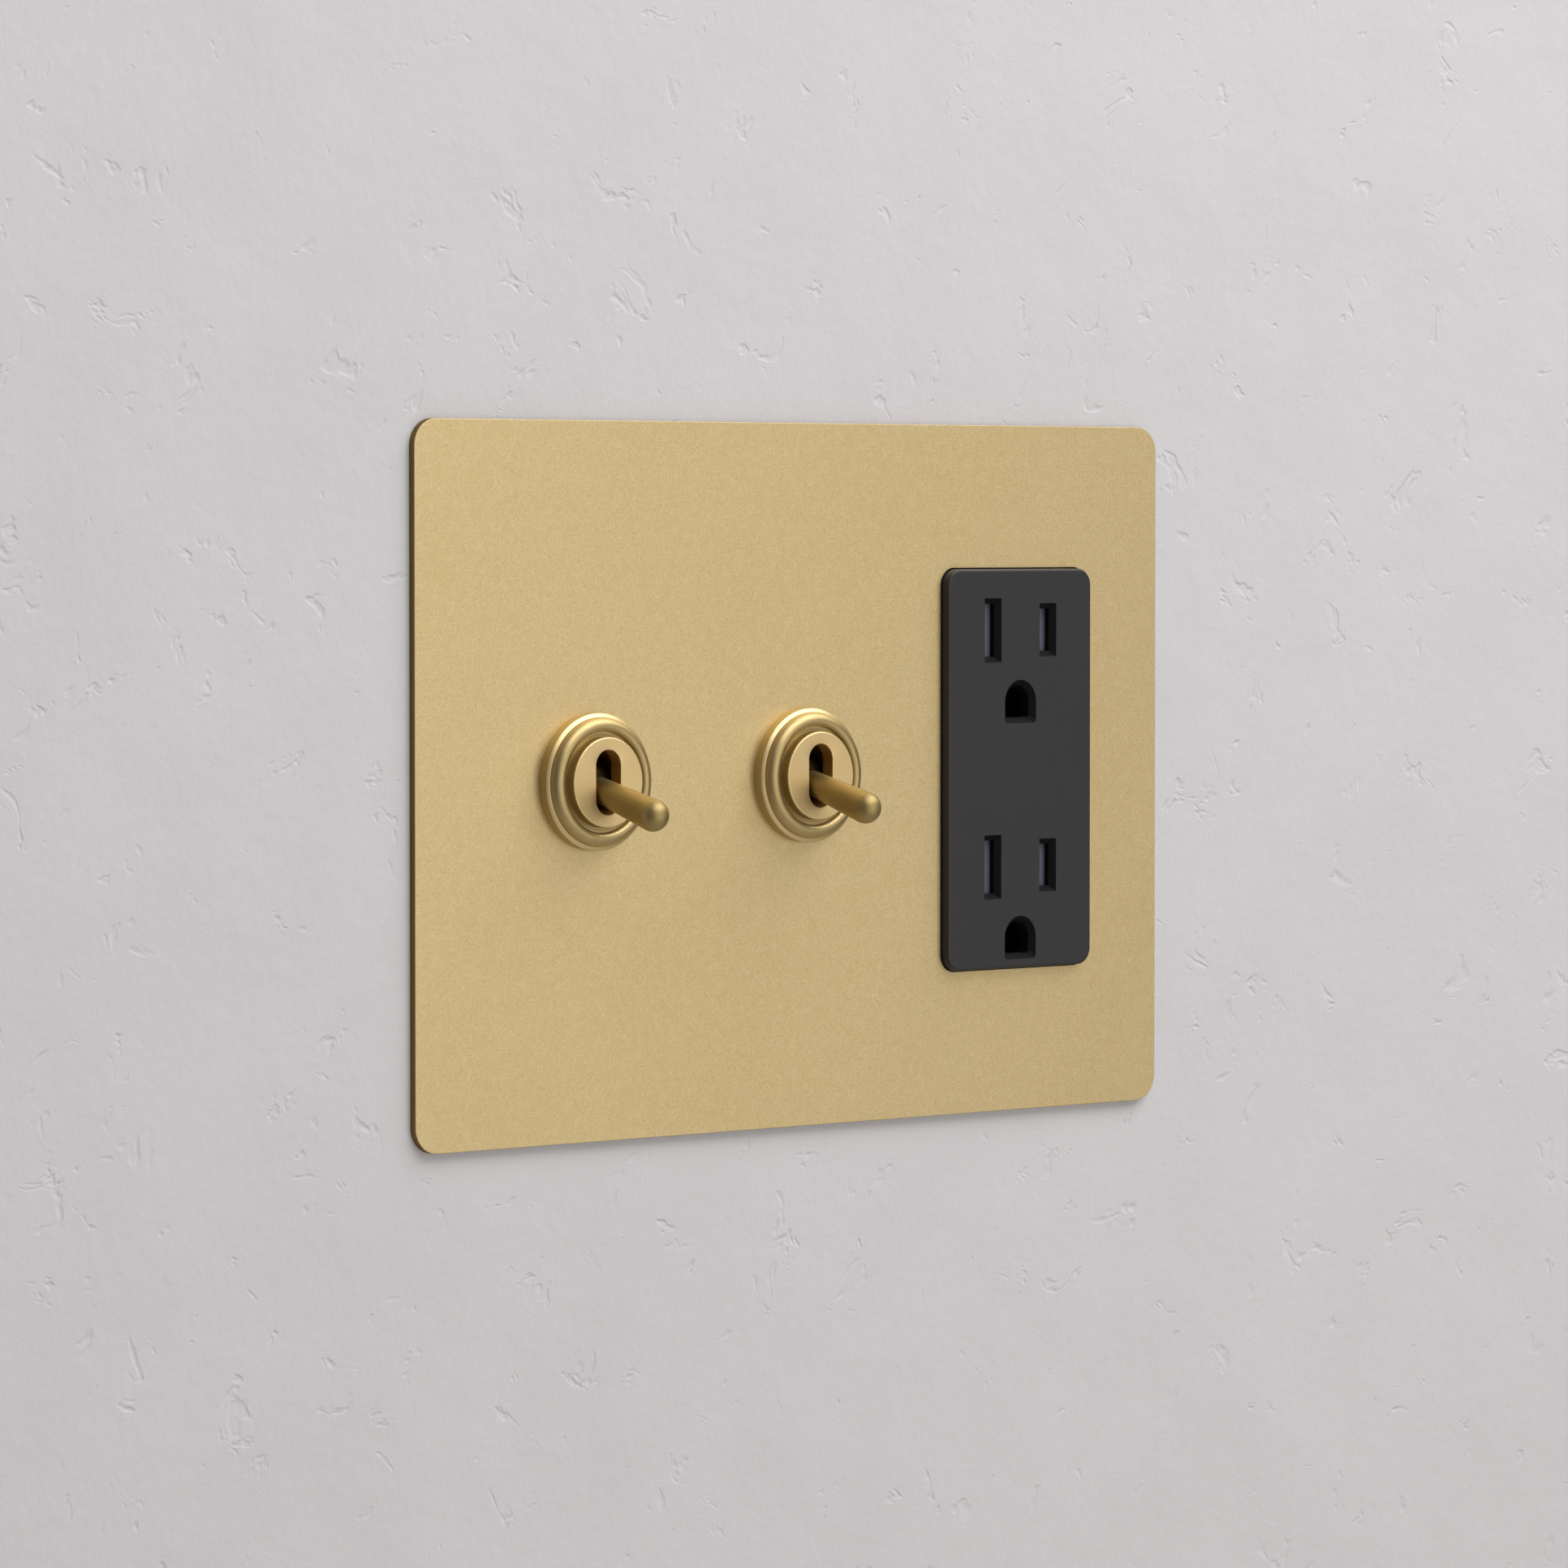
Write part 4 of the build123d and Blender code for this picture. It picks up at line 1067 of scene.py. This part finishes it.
    def shutter(self, dresser: Dresser, name: str, row: float) -> None:
        """Makes the sliding bar behind a pair of blade slots and hangs it on its own body.

        Args:
            dresser: keeper of the materials.
            name: upper or lower.
            row: height of the pair, in millimetres.
        """
        front, back = OUTLET_FRONT - self.web - 0.2, OUTLET_FRONT - self.skin - 2.45
        bar = rounded_block(f"{name}_shutter_bar", (self.x - 1.5, row), self.bar, 0.6, (back, front),
                            per_corner=4)
        window = (self.neutral[0] + 0.4, self.neutral[1] + 0.3)
        for way in (-1, 1):
            centre = (self.x + way * self.pitch / 2 - self.travel, row)
            combine(bar, rounded_block("window_tool", centre, window, 0.1, (back - 1.0, front + 1.0),
                                       per_corner=2))
        break_edges(bar, edge_at_height(front, lambda x, z: True), 0.15, 2)
        finish_piece(bar, dresser, Slot.SHUTTER, f"{name}_shutter", f"{name}_shutter")


def coil_springs(dresser: Dresser) -> None:
    """Copies the springs that a slide presses and hangs each one on the body that carries it.

    Args:
        dresser: keeper of the materials.
    """
    behaviour = frame["record"]["behaviour"]
    for joint in behaviour["joints"]:
        for entry in joint.get("deforming_nodes", []):
            node = frame["nodes"][entry["node"]]
            coil = node.copy()
            coil.data = node.data.copy()
            coil.name = f"{entry['node']}_coil"
            bpy.context.scene.collection.objects.link(coil)
            coil.parent, coil.matrix_world = None, node.matrix_world
            make_current(coil)
            bpy.ops.object.transform_apply(location=True, rotation=True, scale=True)
            body = next(b for b, names in behaviour["bodies"].items() if entry["node"] in names)
            finish_piece(coil, dresser, Slot.SPRING_STEEL, body, entry["node"], angle=50.0)
            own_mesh(coil)


# ---- the studio ----


@dataclass(frozen=True)
class Panel:
    """A light panel that shines at the middle of the plate.

    Attributes:
        name: name of the panel.
        place: where it hangs, in metres.
        size: width and height, in metres.
        watts: its power.
        colour: sRGB hex of its light.
    """

    name: str
    place: Point
    size: Pair
    watts: float
    colour: str

    def build(self) -> None:
        """Hangs the panel."""
        data = bpy.data.lights.new(self.name, "AREA")
        data.shape, data.size, data.size_y = "RECTANGLE", self.size[0], self.size[1]
        data.energy = self.watts
        data.color = linear(self.colour)[:3]
        lamp = bpy.data.objects.new(self.name, data)
        lamp.location = self.place
        lamp.rotation_euler = (-Vector(self.place)).to_track_quat("-Z", "Y").to_euler()
        bpy.context.scene.collection.objects.link(lamp)


@dataclass
class Studio:
    """The wall behind the plate, the pale floor, the lights and the camera.

    Attributes:
        wall_size: side of the wall, in metres.
        opening: width and height of the hole for the wall box, in metres.
        gap: how far the wall stands in front of the rim's rear face, in millimetres.
        floor_drop: how far the floor lies below the plate's middle, in metres.
        lights: the light panels, two in front of the wall and two behind it.
        sky: colour and strength of the light from all round.
        camera_place: place of the camera, in metres.
        azimuth: how far the camera looks to the right of straight at the wall, in degrees.
        pitch: how far it looks down, in degrees.
        lens: focal length for a 36 mm sensor.
    """

    wall_size: float = 3.2
    opening: Pair = (0.153, 0.1055)
    gap: float = 0.03
    floor_drop: float = 0.9
    sky: tuple[str, float] = ("#F2F4F8", 0.11)
    camera_place: Point = (-0.7654, -0.8473, 0.0405)
    azimuth: float = 42.07
    pitch: float = 2.11
    lens: float = 161.0
    lights: tuple[Panel, ...] = (
        Panel("key_panel", (0.40, -0.58, 0.95), (1.7, 0.9), 17.6, "#FDFDFF"),
        Panel("front_panel", (0.27, -1.53, -0.14), (2.0, 1.3), 9.2, "#FFFCF6"),
        Panel("rear_panel", (0.6, 1.2, 0.8), (0.9, 0.9), 30.0, "#FFFBF5"),
        Panel("rear_fill", (-0.9, 1.1, -0.1), (0.8, 0.8), 14.0, "#F2F6FF"),
    )

    def build_wall(self) -> None:
        """Makes the wall with its opening, from one sheet."""
        deselect()
        plane = -(WALL_FACE + self.gap) * MM
        bpy.ops.mesh.primitive_plane_add(size=self.wall_size, location=(0.0, plane, 0.0),
                                         rotation=(pi / 2, 0.0, 0.0))
        wall = bpy.context.object
        wall.name = "studio_wall"
        bpy.ops.object.transform_apply(location=True, rotation=True, scale=True)
        bpy.ops.object.mode_set(mode="EDIT")
        bpy.ops.mesh.select_all(action="SELECT")
        border = 0.5
        bpy.ops.mesh.inset(thickness=border, depth=0.0)
        inner = self.wall_size - 2 * border
        bpy.ops.transform.resize(value=(self.opening[0] / inner, 1.0, self.opening[1] / inner),
                                 center_override=(0.0, plane, 0.0))
        bpy.ops.mesh.delete(type="FACE")
        bpy.ops.object.mode_set(mode="OBJECT")
        wall.data.materials.append(WALL_PLASTER.build())
        log.info("wall with an opening of %.0f by %.0f mm", self.opening[0] / MM, self.opening[1] / MM)

    def build_floor(self) -> None:
        """Makes the floor, which reaches in front of and behind the wall."""
        deselect()
        bpy.ops.mesh.primitive_plane_add(size=6.0, location=(0.0, 0.0, -self.floor_drop))
        floor = bpy.context.object
        floor.name = "studio_floor"
        bpy.ops.object.transform_apply(location=True, rotation=True, scale=True)
        bpy.ops.object.mode_set(mode="EDIT")
        bpy.ops.mesh.subdivide(number_cuts=3)
        bpy.ops.object.mode_set(mode="OBJECT")
        floor.data.materials.append(FLOOR_PAINT.build())
        log.info("floor %.1f m below the plate", self.floor_drop)

    def build_lights(self) -> None:
        """Hangs the light panels and sets the light from all round."""
        for panel in self.lights:
            panel.build()
        world = bpy.data.worlds.new("studio_air")
        world.use_nodes = True
        back = world.node_tree.nodes["Background"]
        back.inputs["Color"].default_value = linear(self.sky[0])
        back.inputs["Strength"].default_value = self.sky[1]
        bpy.context.scene.world = world
        log.info("%d light panels", len(self.lights))

    def build_camera(self) -> None:
        """Sets the camera at the height and angle of the view."""
        data = bpy.data.cameras.new("studio_camera")
        data.sensor_fit, data.sensor_width, data.lens = "HORIZONTAL", 36.0, self.lens
        data.clip_start, data.clip_end = 0.01, 50.0
        camera = bpy.data.objects.new("studio_camera", data)
        camera.location = self.camera_place
        camera.rotation_euler = (radians(90.0 - self.pitch), 0.0, -radians(self.azimuth))
        bpy.context.scene.collection.objects.link(camera)
        bpy.context.scene.camera = camera
        bpy.context.scene.view_settings.view_transform = "Standard"

    def build(self) -> None:
        """Makes the studio."""
        self.build_camera()
        self.build_wall()
        self.build_floor()
        self.build_lights()


def main() -> None:
    """Builds the studio and the object, in order."""
    logging.basicConfig(level=logging.INFO, format="%(name)s: %(message)s")
    dresser = Dresser()
    Studio().build()
    dresser.dress_nodes()
    PlateAssembly().build(dresser)
    for side in ("left", "middle"):
        ToggleSwitch(side, DEVICE_X[side]).build(dresser)
    SocketOutlet().build(dresser)
    coil_springs(dresser)
    deselect()


if __name__ == "__main__":
    main()
